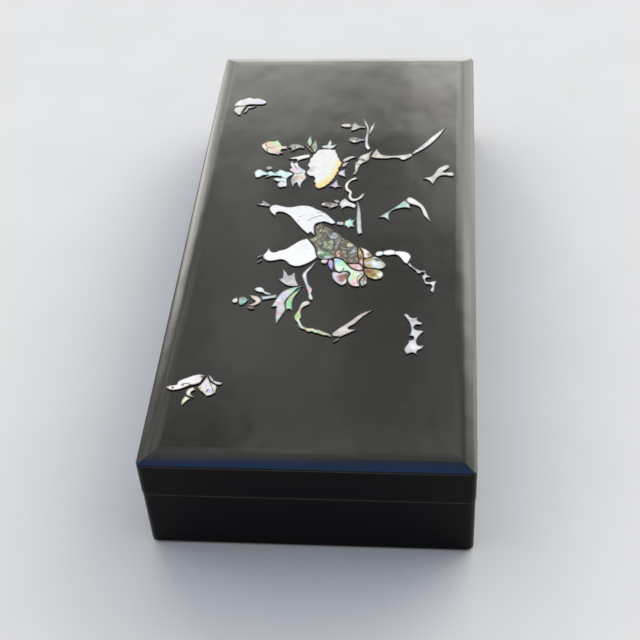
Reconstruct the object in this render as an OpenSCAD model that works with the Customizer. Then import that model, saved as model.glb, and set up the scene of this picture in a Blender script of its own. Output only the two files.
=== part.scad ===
// Black lacquered box with a hinged lid. The lid carries a scene of two peafowl,
// peonies, rocks and butterflies in cut mother-of-pearl and abalone shell.
// Millimetres. X runs left to right, Y from front to back, Z up. The origin is the
// middle of the underside.

/* [Outside] */
// Length of the lid, left to right
box_l = 305; // [260:1:360]
// Width of the lid, front to back
box_w = 141; // [128:1:170]
// Height of the closed box
box_h = 53.6; // [44:0.1:70]
// Height of the base rim above the table
base_h = 33.2; // [24:0.1:40]
// Gap between the two closed rims
lid_gap = 0.3; // [0.3:0.05:1]
// How far the lid stands past the base on every side
lid_overhang = 0.25; // [0:0.05:1]
// Radius of the upright corners
corner_r = 3; // [1.5:0.25:4.5]

/* [Walls and panels] */
// Thickness of the base walls and lid rails
wall_t = 6; // [5.5:0.25:8]
// Thickness of the bottom panel
bottom_t = 4; // [3:0.25:6]
// How far the bottom panel reaches under the walls
rabbet_w = 3; // [2:0.25:4]
// Side clearance of the bottom panel in its rabbet
panel_fit = 0.15; // [0.05:0.05:0.4]
// Thickness of the lid panel at its middle
lid_panel_t = 5; // [4:0.25:8]
// Width of the sloped border of the lid, seen from above
bevel_run = 7; // [6:0.25:9]
// Height lost over the sloped border
bevel_drop = 2.2; // [1:0.1:3]
// Radius that eases the flat top into the slope
bevel_ease_r = 16; // [4:0.5:16]
// Radius of the outer edge of the slope
lid_edge_r = 1; // [0.3:0.1:1.2]
// Rounding of the base along its rim
rim_r = 0.8; // [0.3:0.1:1.2]
// Rounding of the base along its foot
foot_r = 0.7; // [0.3:0.1:1.5]
// Rounding of the lower edge of the lid
lid_foot_r = 0.4; // [0.2:0.1:1]

/* [Lining and felt] */
// Thickness of the velvet boards that line the box
lining_t = 1.5; // [1:0.1:2.5]
// How far the wall boards stop short of the rim
lining_drop = 1.5; // [0.5:0.25:4]
// Clearance at the ends of the velvet boards
lining_fit = 0.2; // [0.1:0.05:0.5]
// Thickness of the felt under the box
felt_t = 0.8; // [0.5:0.1:2]
// How far the felt is set in from the sides
felt_inset = 3; // [2:0.25:5]

/* [Hinges] */
// Distance between the middles of the two hinges
hinge_spacing = 180; // [120:1:200]
// Length of a hinge
hinge_l = 30; // [24:1:40]
// Wood left between a leaf and the inside of the wall
leaf_edge = 0.8; // [0.6:0.1:1]
// Thickness of a leaf and of its stop wing
leaf_t = 0.9; // [0.7:0.05:1.2]
// Side clearance of a leaf in its recess
leaf_fit = 0.1; // [0.05:0.05:0.3]
// Radius of the barrel
barrel_r = 1.4; // [1.2:0.1:1.6]
// Gap between the barrel and whatever turns past it
barrel_gap = 0.4; // [0.3:0.05:0.6]
// Radius of the pin
pin_r = 0.7; // [0.5:0.05:0.8]
// Running clearance around the pin
pin_fit = 0.03; // [0.02:0.01:0.08]
// Radius of the pin heads
pin_head_r = 1.1; // [0.9:0.1:1.3]
// Thickness of a pin head
pin_head_t = 0.6; // [0.4:0.1:1]
// Gap between neighbouring knuckles
knuckle_gap = 0.3; // [0.3:0.05:0.5]
// Reach of the stop wings from the pin
wing_reach = 4.2; // [3.6:0.1:5]
// Angle at which the wings stop the lid
open_angle = 100; // [90:1:115]
// Angle left between the wings at full opening
stop_slack = 1; // [0.5:0.5:3]
// Distance between the two screws of a leaf
screw_spacing = 18; // [14:0.5:20]
// Radius of a screw head
screw_head_r = 1.2; // [1:0.05:1.2]
// Height of the screw cone
screw_cone_h = 0.7; // [0.5:0.05:0.9]
// Radius of a screw shank
screw_r = 0.7; // [0.5:0.05:0.8]
// Length of a screw
screw_l = 7; // [5:0.5:9]
// Bite of the screw thread into the wood
screw_bite = 0.1; // [0.05:0.01:0.2]
// Clearance of the shank in the leaf
screw_fit = 0.1; // [0.05:0.05:0.3]

/* [Shell inlay] */
// Thickness of the cut shell
shell_t = 1.1; // [0.8:0.05:1.4]
// How far the shell stands above the lacquer
shell_proud = 0.6; // [0.3:0.05:0.8]
// Clearance around each piece of shell in its recess
shell_fit = 0.08; // [0.05:0.01:0.15]
// Length of the flat top that the scene is drawn for
scene_l = 293; // [246:1:346]
// Width of the flat top that the scene is drawn for
scene_w = 127; // [110:1:160]
// How far the scene sits to the right of the lid's middle
scene_x = -1.8; // [-4:0.1:4]
// How far the scene sits behind the lid's middle
scene_y = -0.6; // [-2:0.1:2]
// Points on each curved stretch of a shell outline
curve_steps = 3; // [2:1:5]

/* [Hidden] */
$fn = 48;
bow_steps = 8;
base_l = box_l - 2 * lid_overhang;
base_w = box_w - 2 * lid_overhang;
// heights
foot_z = felt_t;
floor_z = foot_z + bottom_t;
rim_z = base_h;
lid_z = rim_z + lid_gap;
top_z = box_h;
edge_z = top_z - bevel_drop;
panel_z = top_z - lid_panel_t;
// slope of the lid border
bevel_a = atan2(bevel_drop, bevel_run);
ease_len = bevel_ease_r * tan(bevel_a / 2);
edge_len = lid_edge_r * tan((90 - bevel_a) / 2);
// inside of the wooden frame
room_l = base_l - 2 * wall_t;
room_w = base_w - 2 * wall_t;
lid_room_l = box_l - 2 * wall_t;
lid_room_w = box_w - 2 * wall_t;
// hinge line
axis_y = box_w / 2;
axis_z = (rim_z + lid_z) / 2;
knuckle_l = (hinge_l - 4 * knuckle_gap) / 5;
barrel_relief_l = hinge_l + 2 * (pin_head_t + barrel_gap);
bore_r = pin_r + pin_fit;
wing_a = (open_angle + stop_slack) / 2;
barrel_room = barrel_r + barrel_gap;
leaf_in = box_w / 2 - wall_t + leaf_edge;
leaf_out = axis_y - barrel_room;
screw_y = (leaf_in + leaf_out) / 2;
// shell
shell_seat = shell_t - shell_proud;
shell_z = top_z - shell_seat;
flat_l = box_l - 2 * bevel_run;
flat_w = box_w - 2 * bevel_run;
scene_scale = min(flat_l / scene_l, flat_w / scene_w);
spare_l = (flat_l - scene_scale * scene_l) / 2;
spare_w = (flat_w - scene_scale * scene_w) / 2;
// how far a cut runs past the face that it opens
cut_past = box_h / 50;

lacquer = [0.05, 0.05, 0.06];
velvet = [0.42, 0.06, 0.1];
felt = [0.1, 0.1, 0.1];
brass = [0.8, 0.65, 0.3];
steel = [0.75, 0.75, 0.78];
pearl = [0.95, 0.95, 0.93];
abalone = [0.62, 0.72, 0.68];
rose = [0.9, 0.78, 0.8];
jade = [0.6, 0.85, 0.78];

// Outlines of the shell, seen from above with the hinges at the top. Each is a closed
// ring of points joined by a smooth curve. A third number marks a pointed corner.

// Peacock
peacock_body = [[-15.1, 29.2, 1], [-17.6, 28], [-18.3, 26.1], [-16.8, 23.6], [-15.9, 21], [-12.2, 17.3],
    [-9.2, 14.2], [-7.8, 11, 1], [-10.4, 9.4], [-14.6, 7], [-18.5, 6.1], [-21.6, 5.3, 1], [-24.6, 8],
    [-26.8, 10.9], [-28.1, 14.6], [-26.8, 17.9], [-24.2, 20.1], [-23.2, 22.4], [-23.9, 25], [-24.4, 27.9],
    [-23.5, 30], [-21.4, 31.3], [-19.8, 31], [-18.2, 30.1]];
peacock_crest_left = [[-26.2, 33.4, 1], [-25.2, 33.7, 1], [-23.4, 32.2, 1], [-24.1, 31.6, 1]];
peacock_crest_right = [[-22.5, 33.9, 1], [-21.5, 34.1, 1], [-20, 32, 1], [-21.1, 31.7, 1]];

// Train of the peacock
train_fan = [[-21.9, 4.6], [-18.5, 5.5], [-14.4, 6.3], [-11.3, 8], [-8.9, 9.7], [-7.6, 9.9, 1],
    [-6.6, 7.6],
    [-4.6, 6.9], [-2, 7.3], [0.6, 7.7], [3, 6.4], [3.8, 4.9], [2.3, 3.4], [0.2, 0.9], [-2.2, -1.8],
    [-4, -4],
    [-6.8, -6.2], [-8.8, -8.9], [-11.6, -11.6], [-14, -13.7, 1], [-17.4, -13.7], [-20.4, -13.9],
    [-23, -14.7], [-25.3, -14.5], [-25.6, -11.6], [-25.2, -9.2], [-22.8, -7.4], [-21.8, -5.3],
    [-20.9, -3.7],
    [-22, -2.2], [-22.6, -0.2], [-22.6, 2.4]];
train_pink_tip = [[-25.8, 1.1], [-25.4, 2.6], [-24.4, 3.2], [-23.3, 2.7], [-23.1, 1.1], [-23.3, -0.1],
    [-24.8, 0], [-25.6, 0.5]];
train_violet_tip = [[-30.6, -2.6, 1], [-28.9, -1.4], [-26.8, -0.6], [-25, -0.5], [-23, -1, 1],
    [-23.9, -2.2],
    [-25, -2.7], [-27.7, -2.9]];
train_lilac_plume = [[-41, -8.1], [-40.4, -6.7], [-38.5, -4.7], [-36, -3.3], [-33.4, -2.9], [-31.9, -3.4],
    [-32.4, -5.2], [-32.8, -6.6], [-31.9, -7.9], [-31.8, -9.4], [-33, -10.7], [-35, -10.4], [-36.4, -9.8],
    [-38, -10.1], [-40, -9.5]];
train_green_plume = [[-41.8, -14.8], [-41.4, -13], [-40.2, -11.6], [-38.4, -10.9], [-36.4, -10.5],
    [-34.8, -11], [-32.8, -11.5], [-31.2, -10.2], [-31.1, -8.4], [-32, -6.4], [-31.2, -5], [-29.6, -4],
    [-27.2, -3.6], [-24.2, -3.3], [-22.3, -3.1], [-22.3, -4.8], [-23.4, -7], [-25.2, -8.5], [-27.4, -10],
    [-29.5, -11.8], [-30.7, -13.6], [-31.2, -15.2], [-31, -17.1], [-33, -17.8], [-35.6, -16.6],
    [-38, -15.6], [-40.4, -16.2], [-41.5, -16]];
train_grey_strip = [[-41.5, -17.4], [-39.8, -16.7], [-37.9, -16.2], [-35.8, -17.1], [-33.6, -18.3, 1],
    [-35.2, -19.1], [-38.1, -19.6], [-40.2, -19.1]];
train_rose_leaf = [[-30.4, -15.2], [-29.7, -13.2], [-28.3, -11.4], [-26.5, -10, 1], [-26, -11.6],
    [-26.2, -13.4], [-26, -14.9], [-27.2, -16.2], [-28.6, -17], [-30.1, -16.8]];
train_amber_plume = [[-36.6, -23.1], [-36, -21.4], [-35, -20], [-33.4, -18.9], [-31.8, -18.2],
    [-29.6, -18.1], [-29.2, -20.2], [-29.8, -22.6], [-30.3, -25.1], [-31.5, -26.4], [-33.5, -27],
    [-35.6, -26.2], [-36.4, -24.8]];
train_white_plume = [[-29.2, -25], [-28.8, -22.7], [-28.5, -20.2], [-27.8, -18.4], [-26, -17.8],
    [-23.4, -17.5], [-22.1, -18.4], [-21.8, -20.2], [-20.7, -21.6], [-21, -23.1], [-22.6, -25.2],
    [-24.3, -26.8], [-26.4, -27.9], [-28.1, -27.2], [-29, -26.2]];
train_gold_tip = [[-21.4, -17.5], [-19.2, -17.1], [-16.6, -16.5], [-13.9, -15.2, 1], [-14.8, -17],
    [-16.4, -18.9], [-18.7, -20.6], [-20.3, -20.8], [-21.3, -19.4]];
train_brown_strip = [[-27.4, -17.2, 1], [-25.3, -15.4], [-22.4, -15.2], [-20.2, -14.5], [-17.3, -14.3],
    [-14, -14.5, 1], [-16.6, -15.8], [-19.2, -16.5], [-22, -16.9]];

// Plume that trails in front of the peacock
plume_strip = [[-20, -23.4], [-18.4, -22.7], [-17, -23.6], [-16.6, -25], [-16.9, -26.1], [-15.9, -27.8],
    [-15.5, -30], [-16, -31.6], [-16.5, -32.4], [-16.4, -34], [-16.8, -36.8], [-18.4, -39], [-21, -39.6],
    [-23.6, -38.7], [-25.4, -38.2, 1], [-24.4, -36.6], [-22.2, -35.4], [-20, -34], [-18.9, -32.6],
    [-19, -30.4], [-19.4, -28.4], [-18.9, -26.7], [-19.3, -25.9], [-19.8, -25]];
plume_stem = [[-24.6, -38.9, 1], [-26.2, -38.6], [-28.6, -40.8], [-30.4, -42.4], [-32.2, -43.2, 1],
    [-31.9, -44.3], [-31.1, -45.2], [-31.7, -46.2], [-33, -46.3], [-33.8, -45.6], [-34.6, -45.3, 1],
    [-36.4, -46], [-38.4, -46.5], [-39.6, -47.4], [-39.5, -49], [-40.8, -50.1], [-42.2, -50],
    [-43.6, -49.3], [-45.5, -50.6, 1], [-43, -51.1], [-40, -51.3], [-37.3, -52.1, 1], [-37.7, -50.4],
    [-38.3, -48.8], [-37.8, -47.2], [-36.4, -46.8], [-35.2, -47.2], [-34.9, -48.4], [-34.6, -49.5, 1],
    [-33.6, -47.9], [-32.2, -47], [-30.1, -46.6, 1], [-30.3, -44.6], [-29, -42.4], [-27.2, -40.6]];

// Peahen
peahen_body = [[9.7, 28.4, 1], [11.4, 30.2], [13.2, 31.3], [15.4, 31.9], [17.1, 31.3], [18.1, 29.3],
    [17.2, 26], [16.4, 23.4], [16.5, 20.6], [17.5, 17.2], [17.7, 14.4], [16.8, 10.9], [14.8, 8.2],
    [13.3, 5.6], [11.1, 2.9], [8.4, 0.8], [6.4, -0.8], [4.6, -2, 1], [3.6, -0.4], [4.5, 1.4], [5.4, 3.6],
    [4.8, 5.8], [3.7, 7.9], [1.4, 8.5], [-1.2, 8.3], [-5, 7.7, 1], [-3.4, 9.2], [-2.3, 9.8, 1],
    [-4.2, 11, 1], [-0.8, 13.9], [4.3, 17.5], [9.4, 20.9], [12, 23.9], [12.9, 26.6], [12, 28.3]];
peahen_crest = [[16.9, 32.2], [17.4, 34.4], [17.9, 37], [18.6, 38.9, 1], [19.1, 36.4], [20.2, 36],
    [22.1, 36.5, 1], [20.4, 34.4], [19, 32.8], [17.8, 31.8]];
peahen_leg = [[3.5, -2.7], [5, -2.7], [5.2, -4], [5, -5.7], [2.9, -5.7], [2.9, -4]];
peahen_foot = [[2.6, -6.5, 1], [5.6, -6.5, 1], [6.6, -7.8], [8.1, -9.4, 1], [6.6, -9.4], [7, -11.4, 1],
    [4.3, -10.5], [1.1, -11.4, 1], [1.9, -9.6], [0.1, -8.6, 1], [1.8, -7.6]];

// Ground, seedling and cloud beside the peahen
ground_bar = [[-4, -13.7, 1], [-2.6, -13.1], [2.6, -12.6], [7.9, -12.1], [14, -12.1], [21.8, -11.8, 1],
    [15.7, -13.4], [10, -14.1], [5, -14.6], [0, -14.9], [-3, -15.4]];
seedling_bud = [[18.8, 6.3], [20.1, 5], [20.4, 2.6], [20, 0.4], [19.6, -1.6], [18.4, -2.4], [17.2, -1.2],
    [16.3, 0.6], [15.3, 1.8, 1], [17, 2.6], [17.4, 4.6]];
seedling_side = [[20.2, -1.6], [20.9, -0.6], [22.2, 0.4, 1], [22.4, -1.2], [21.4, -2.6], [20.6, -2.7]];
seedling_leaf = [[15.4, -4.1, 1], [17, -3.9], [18.6, -3], [20.4, -3.2], [21.8, -3.7], [23.7, -5.4, 1],
    [22.2, -6.6], [21, -7.6], [19.8, -9.6], [18.4, -11.3, 1], [16, -10.5, 1], [17.2, -8.6], [17.5, -6.4]];
cloud_arch = [[21.5, -10], [22.6, -8], [25.2, -7], [28.4, -7.2], [30.2, -5.6], [33.4, -4.7], [36.4, -5.2],
    [39.2, -7.2], [40.8, -9.6], [39.7, -10.9, 1], [38.8, -8.8], [36.8, -7], [33.8, -6.2], [31.2, -6.9],
    [29.2, -8.6], [26.2, -8.4], [24.1, -8.9], [23.4, -10.2], [24.4, -12.2], [26.4, -13.2],
    [28.2, -14.8, 1], [25.2, -14.4], [22.8, -12.4]];

// Flower spray at the left
spray_tip = [[-52.8, 42.5], [-51.2, 41.6], [-51, 40.4], [-52.4, 39.8], [-54, 40.4], [-54.1, 41.7]];
spray_petal = [[-54.9, 39], [-52.4, 39.3], [-50.2, 38.9], [-50, 37.3], [-51, 36], [-52.4, 35, 1],
    [-54, 36.2],
    [-55.6, 37.8]];
spray_side = [[-58.4, 32.2], [-57.9, 34.2], [-56.8, 34.8], [-56.4, 33.2], [-57, 31.5]];
spray_cup = [[-55.7, 34.9, 1], [-54.6, 32.6], [-53, 31.4], [-51.4, 33], [-49, 34.8, 1], [-49.2, 32.2],
    [-50.4, 30], [-52.6, 28.9], [-54.9, 30.3], [-56, 32.4]];
spray_stem = [[-51.9, 28.4, 1], [-49.6, 29.2, 1], [-49.3, 26.4], [-48.3, 22.2, 1], [-50.2, 21.9, 1],
    [-51, 25]];
spray_bud = [[-48.6, 25.2, 1], [-47.9, 27.4], [-46.8, 28.8], [-46.4, 30.8], [-45, 32.7], [-43.7, 32.2],
    [-43.3, 30.2], [-44.4, 28.6], [-46, 28], [-46.9, 26.4], [-47.8, 24.4, 1]];
leaf_upper = [[-67.8, 20.4, 1], [-64, 21], [-60, 21.2], [-56, 21.2, 1], [-56.6, 23.8, 1], [-54.6, 23],
    [-51, 21.8],
    [-47.6, 20.3], [-44.9, 17.9], [-43, 14], [-42.2, 10.4, 1], [-43.8, 12.8], [-46.4, 14.4], [-50, 16.6],
    [-53.8, 17.9], [-58.2, 17], [-62.4, 18.4]];
leaf_lower = [[-58.6, 16.4, 1], [-53.9, 17.3], [-50, 16.1], [-46.6, 13.9], [-43.2, 11.1, 1],
    [-46.4, 12.2],
    [-49.5, 13.6], [-53.4, 14.3], [-59.1, 13.9, 1], [-57.6, 15.4]];
three_point_leaf = [[-42, 12.2, 1], [-42.1, 16.4], [-40.6, 19.3], [-37.4, 22.2, 1], [-36.7, 20.5],
    [-34, 20.3], [-30.4, 20.7, 1], [-33, 18.8], [-35, 17.4], [-32.4, 15, 1], [-35.8, 14.5],
    [-39.1, 13.6]];

// Branches at the left
branch_left = [[-52.2, 7.6], [-53.4, 9.5], [-55.5, 10.4], [-58.4, 10.9], [-61, 11.9], [-63, 12.5],
    [-65, 11.9], [-66.8, 10.6], [-69, 9.9], [-70.5, 8.8], [-71.2, 6.9], [-72.6, 5.4], [-72.3, 3.5],
    [-73.3, 2.2], [-73.6, 0.4], [-74.6, -1.5], [-74.8, -3.6], [-75.7, -5.2, 1], [-74.5, -5],
    [-73.4, -3.5], [-72.5, -1.4], [-71.3, 0.4], [-71.3, 2.2], [-70.3, 3.4], [-70.5, 5.2], [-69.9, 7],
    [-68.6, 8.3], [-66.8, 9.1], [-65, 9.9], [-62.8, 9.3], [-60.6, 9.8], [-58.6, 9.8], [-56.6, 9.1],
    [-55.4, 7.7], [-54.4, 6.3], [-53, 6.1]];
branch_thorn = [[-74.9, -5.9], [-73.2, -6], [-70.2, -8.6], [-66, -12.9], [-61.8, -16.6], [-59.4, -19.6],
    [-57.8, -23.3, 1], [-60.4, -20.6], [-63.6, -17.8], [-67, -15.4], [-70.2, -12.5], [-70.8, -16.4, 1],
    [-73, -13.2], [-75.4, -9.6, 1], [-75.2, -7.6]];
branch_spur = [[-79.4, -6.3, 1], [-77.6, -7.4], [-75.9, -8.9, 1], [-77, -9.2], [-78.4, -8]];
branch_bird = [[-51.6, 5.4], [-50.4, 6.8], [-47.4, 7.2], [-43.6, 8.4], [-39.1, 9.8], [-34.9, 11.2],
    [-32, 10.4], [-28.4, 8.1], [-24.3, 5.5, 1], [-28.2, 6.8], [-31.4, 8.4], [-33.8, 9.2], [-37.6, 8.7],
    [-41.4, 7.6], [-44.2, 5.8], [-47.4, 6], [-50, 5]];

// Peony
peony_bloom = [[31.7, 8.2], [32.6, 9.8], [34.2, 10.6], [35.7, 10.4], [36.8, 11.1], [38.3, 11.3],
    [39.4, 10.9], [40.8, 11.4], [41.9, 12.2], [41.9, 13.6], [42.9, 14.7], [44.5, 15.6], [46.4, 15.5],
    [47.8, 14.7], [48.9, 14.5], [50.1, 15.4], [52.2, 15.5], [53.8, 14.8], [55.4, 15], [57, 14.6],
    [58.2, 13.7], [60, 13.4], [61.4, 12.3], [63, 11.8], [64.2, 10.9], [64.5, 9.5], [65, 8.3], [64.6, 6.9],
    [64.9, 5.5], [64.4, 4.2], [64.4, 2.8], [63.5, 1.9], [62, 1.9], [60.8, 1], [59.2, 0.7], [57.8, 0.4],
    [56.6, -0.5], [55.2, -0.5], [54.2, -1.4], [52.6, -1.8], [51.2, -1.4], [50, -1.3], [48.8, -0.4],
    [47.4, -0.5], [46, -0.5], [44.8, 0.2], [43.2, 0.3], [42, 1], [40.4, 1.2], [39.2, 2], [38, 2.2],
    [37, 3.2], [35.7, 3.6], [34.6, 4.7], [33.4, 5.4], [32.6, 6.7]];
peony_tail = [[65.7, 8.3, 1], [66.8, 9.6], [68, 8.8], [68.4, 7], [70.4, 6.4], [73, 5.3, 1], [70.2, 4.5],
    [68.2, 4.6], [69.5, 1.6, 1], [67, 2.8], [65.4, 4.4], [65.5, 6.2]];
peony_pink_leaf = [[31.5, 18, 1], [34.6, 19.4], [36.6, 20.4], [32.6, 21.9, 1], [36.2, 23], [40, 23.2],
    [43.4, 22.2], [45.4, 23.8], [47.4, 25.1, 1], [48.7, 23.8], [51.2, 24.8], [54.8, 24.4, 1],
    [52.4, 22.8],
    [53.9, 21.4, 1], [50.4, 20.4], [47.8, 18.2], [46, 16.3], [43.4, 16.6], [40.6, 15.6], [38.2, 16.6],
    [35.4, 17.8]];
peony_blade = [[56.5, 26.2, 1], [57.6, 24], [58.6, 21], [59.8, 18], [60.2, 15.6, 1], [58.2, 15.2],
    [57, 17], [56, 19.6], [54.3, 21.4, 1], [56.2, 21.8], [56.2, 24]];
peony_violet_leaf = [[33.6, 3.2, 1], [35.2, 1.6], [36.8, 0.8], [38.8, -0.2, 1], [36, -0.8], [34.4, -1.2],
    [33.2, -3.2, 1], [33, -0.8], [31.8, 0.3, 1], [33, 1.2]];
peony_lilac_leaf = [[43.6, -0.8], [45.4, -0.9], [46.4, -2.4], [47.7, -4, 1], [45, -3.8], [41.4, -4.6, 1],
    [42.4, -2.4]];
peony_grey_leaf = [[49.4, -2.6, 1], [51.2, -2.3], [53, -3], [53.8, -5.6, 1], [52.2, -4.8], [50.4, -4]];
peony_dusk_leaf = [[54, -2.8], [55.8, -2.5], [57.6, -4.2], [58.8, -6.6], [58.1, -9.3, 1], [57, -6.8],
    [55.3, -4.8]];
green_leaf_top = [[61.9, 14], [64.6, 16.2], [69.5, 19.4, 1], [67.8, 17.2], [66, 15.9], [63.6, 14.4]];
green_leaf_middle = [[66.8, 15.8, 1], [69, 17], [71.6, 17.6], [76.7, 16.4, 1], [73.6, 15.6], [70, 15.1]];
green_leaf_low = [[61.8, 13.1, 1], [64.6, 14.3], [67.4, 15.1], [70, 14.2], [73.6, 13.1, 1], [70.6, 12.6],
    [67.6, 12], [65, 11.8]];

// Bush and bud behind the peony
bush = [[43.2, 22.8], [41.6, 24.4], [39.8, 25.5], [38, 25.6], [36, 25.3], [34, 25.1], [32.8, 25.8],
    [33, 26.8], [32.4, 28], [33, 29.3], [34.5, 29.9], [35.9, 29.6], [36.6, 28.7], [37.2, 29.9],
    [38, 31.3], [38.9, 32.4], [39.8, 32.1], [40.1, 30.4], [40.2, 28.3], [40.8, 27.9], [41.6, 29.2],
    [42.1, 31.8], [41.6, 34.4], [40.1, 37, 1], [41.2, 36.3], [42.2, 35.6], [42.6, 37], [42.2, 38.4],
    [41, 39.5], [40.5, 40.7], [40.7, 41.8], [42, 42.3], [43.3, 42.5], [44.4, 42.9], [45.6, 42.4],
    [46.7, 41.8], [47.2, 40.5], [46.6, 39.3], [45.6, 38.2], [44.9, 36.9], [44.8, 35.8], [45.9, 34.8],
    [45.1, 33.4], [44.8, 31.8], [45.6, 30.7], [47.2, 30, 1], [46.4, 28], [45.3, 26.6], [45.1, 25.4],
    [44.5, 23.6]];
bush_bud = [[46.9, 36], [48.2, 37.3], [49.8, 36.2], [49.5, 34.5], [48, 34], [47.2, 34.9]];
bud_head = [[60.9, 35.6], [62, 37.6], [63.5, 39.4], [65.8, 40.8], [68.4, 41.5], [70.4, 39.8],
    [71.7, 37.8],
    [71.5, 35.6], [72.7, 33.2, 1], [70.8, 32.6], [69.7, 31.6, 1], [67.8, 31.2], [67.2, 28, 1],
    [65.2, 28, 1],
    [64.8, 30.6], [63.4, 31.2], [60.9, 29.4, 1], [61, 31.5], [59.4, 31.7, 1], [60.7, 33.4]];
bud_leaf = [[66.4, 27.4, 1], [68.2, 26.6], [69.4, 25.2], [69, 22.6], [68.2, 20.6], [67.3, 18.9],
    [65.8, 19],
    [66, 21.4], [64.8, 23], [63, 25.4, 1], [65.2, 25.4]];

// Branch, root and twig at the right
branch_right = [[42.8, -8.5], [46, -9], [49.6, -9], [52.6, -8.9], [55, -10.2], [57.8, -10.7], [59.6, -12],
    [61, -14.3], [63.9, -17.2, 1], [61.8, -16.6], [59.4, -16], [56.6, -15.9], [54.6, -14.6], [53, -12.6],
    [50.2, -11], [46.6, -10.4]];
root_upper = [[58.2, -17.2], [60.2, -17.4], [62.6, -18.2], [65.1, -19.6, 1], [62.6, -20.6], [60.4, -22],
    [59.4, -24.8], [59.3, -28], [59.9, -32], [60.4, -34.8], [61.4, -37.6, 1], [59.4, -38], [57.2, -35.8],
    [55.9, -33.3], [57.5, -31.4], [57.8, -28], [57.2, -25.2], [57.2, -21.4]];
root_blade = [[60.6, -38.4, 1], [62.6, -38.7], [66, -41.4], [70.6, -44.6], [76.6, -48.6],
    [85.1, -55.4, 1],
    [77, -51.9], [70, -47.6], [65.2, -43.6]];
twig_upper = [[64.3, -14.8, 1], [67, -13.5], [70.8, -13.1], [75.6, -13.1], [80.6, -13.6], [84, -13.3],
    [88, -12],
    [93, -11.1, 1], [88.6, -13], [83.6, -14.4], [78, -14.4], [72.6, -14.4], [68.6, -14.9],
    [65.8, -16.2, 1]];
twig_lower = [[77.6, -14.9, 1], [82, -15], [85.4, -15.8], [88.8, -17.2, 1], [84.4, -17], [80.4, -16]];
twig_bud = [[72.3, -12.6, 1], [72.2, -10.6], [71, -9.2], [70.9, -7], [72.4, -4.6], [74.4, -4.8],
    [75.5, -7],
    [74.9, -9.2], [74, -10.8], [74.1, -12.7, 1]];
twig_flower_tip = [[84.6, -2.4], [85.4, 0], [86.5, 0.6], [87.6, -1.6], [87.6, -3.8], [86.6, -4.8],
    [85, -4.6]];
twig_flower = [[81.5, -5.3, 1], [83.2, -5], [85, -5.4], [86.6, -5.4], [88.8, -6.6, 1], [87, -8.2],
    [85.6, -9.2], [85.4, -12.2, 1], [83.9, -12.5, 1], [84.1, -9.8], [82.4, -7.6]];

// Rocks along the front
rock_left = [[-85.8, -39.4, 1], [-84, -38.3], [-82.2, -38.2], [-80.5, -38.9], [-78.8, -39.8],
    [-77.2, -39.9, 1], [-76.9, -41.5], [-75.6, -42.2], [-74.4, -41.5], [-74.2, -40, 1], [-71.6, -40.8],
    [-68.8, -40.7], [-65, -39.7], [-62, -38], [-60.5, -37.3], [-60.2, -38.6], [-62.6, -40.6],
    [-62.3, -43.4, 1], [-63.8, -43.1], [-65.4, -44.7], [-65.4, -45.7, 1], [-67, -45.2, 1], [-66.8, -43],
    [-68, -42], [-69.6, -42], [-70.6, -43.3], [-70.7, -45.2, 1], [-71.2, -46.4, 1], [-73.4, -44.7],
    [-76.4, -43.3], [-78.6, -43.2], [-80.2, -44], [-80.6, -45], [-80.1, -46.6, 1], [-82.2, -45.6],
    [-83.2, -44], [-84.4, -43.4], [-86.1, -43.7, 1], [-84.8, -42.2], [-84.9, -40.6]];
rock_middle_top = [[9, -22.4, 1], [10.6, -24.2], [14.3, -27.9], [19.3, -32.6], [22.6, -35],
    [21.4, -35.8], [19.6, -37.2], [16.2, -37.9, 1], [17, -35.6], [16.4, -32.6], [15.2, -29.8],
    [13, -28], [9.8, -27.4], [6.4, -27.9, 1], [8.4, -26.2], [9.3, -24.4]];
rock_middle_low = [[23.5, -35.9], [25.3, -37.1, 1], [24.3, -38.9], [21.4, -41.8], [17.9, -44.5],
    [12.1, -46.5],
    [5.7, -48.2, 1], [8.4, -46.4], [10.7, -44.9], [13.4, -44.1], [15.9, -43.4], [18.4, -41.4],
    [19.4, -39], [20.2, -37.5], [21.6, -36.2]];
rock_right = [[40.4, -43.7, 1], [41.2, -46], [42, -48], [45, -49.8], [48.8, -51.5], [50.6, -53.6],
    [51.7, -55.6], [51.1, -57], [49.4, -56.8], [47.6, -55], [45.6, -53.2, 1], [45.3, -55.4],
    [45.6, -58.4],
    [44, -59.4], [42.5, -58.6], [43.2, -55.6], [43, -52.9], [41.4, -51.2], [39.4, -50.2],
    [35.7, -48.7, 1],
    [38, -47.6], [39.6, -46]];

// Butterfly at the left
flutter_wing = [[-108.7, 64.1], [-107.7, 62.5], [-107.1, 59.7], [-105.8, 59.6], [-104.4, 58.5], [-103, 56.1],
    [-101.4, 53.1], [-100.7, 50.5], [-101.2, 48.2, 1], [-103.4, 49], [-105.6, 49.9], [-106.7, 51.9],
    [-107.6, 54.5], [-109.2, 57.1], [-110.2, 59.9], [-110.1, 62.3]];
flutter_feeler = [[-119.3, 55.7, 1], [-117.3, 56.1], [-115.4, 55.7], [-113.8, 55.1, 1], [-115, 52.6, 1],
    [-116.2, 53.7], [-117.7, 54.8]];
flutter_arm = [[-113, 54.5], [-111.4, 54.9], [-109.6, 54.1], [-108.5, 52.4, 1], [-109.8, 50.9, 1],
    [-110.8, 52.5], [-112.3, 53], [-114.6, 51.1, 1], [-113.8, 53.1]];
flutter_low_wing = [[-108.6, 50.4, 1], [-110.4, 48.9], [-111.8, 47.2], [-113.5, 45.7, 1], [-112.8, 43.9],
    [-111.4, 42.1, 1], [-109.6, 42.1], [-107.2, 42.3], [-106.4, 43.7], [-105, 45.4], [-102, 47, 1],
    [-105, 48.2], [-106.8, 49.1]];
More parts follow.
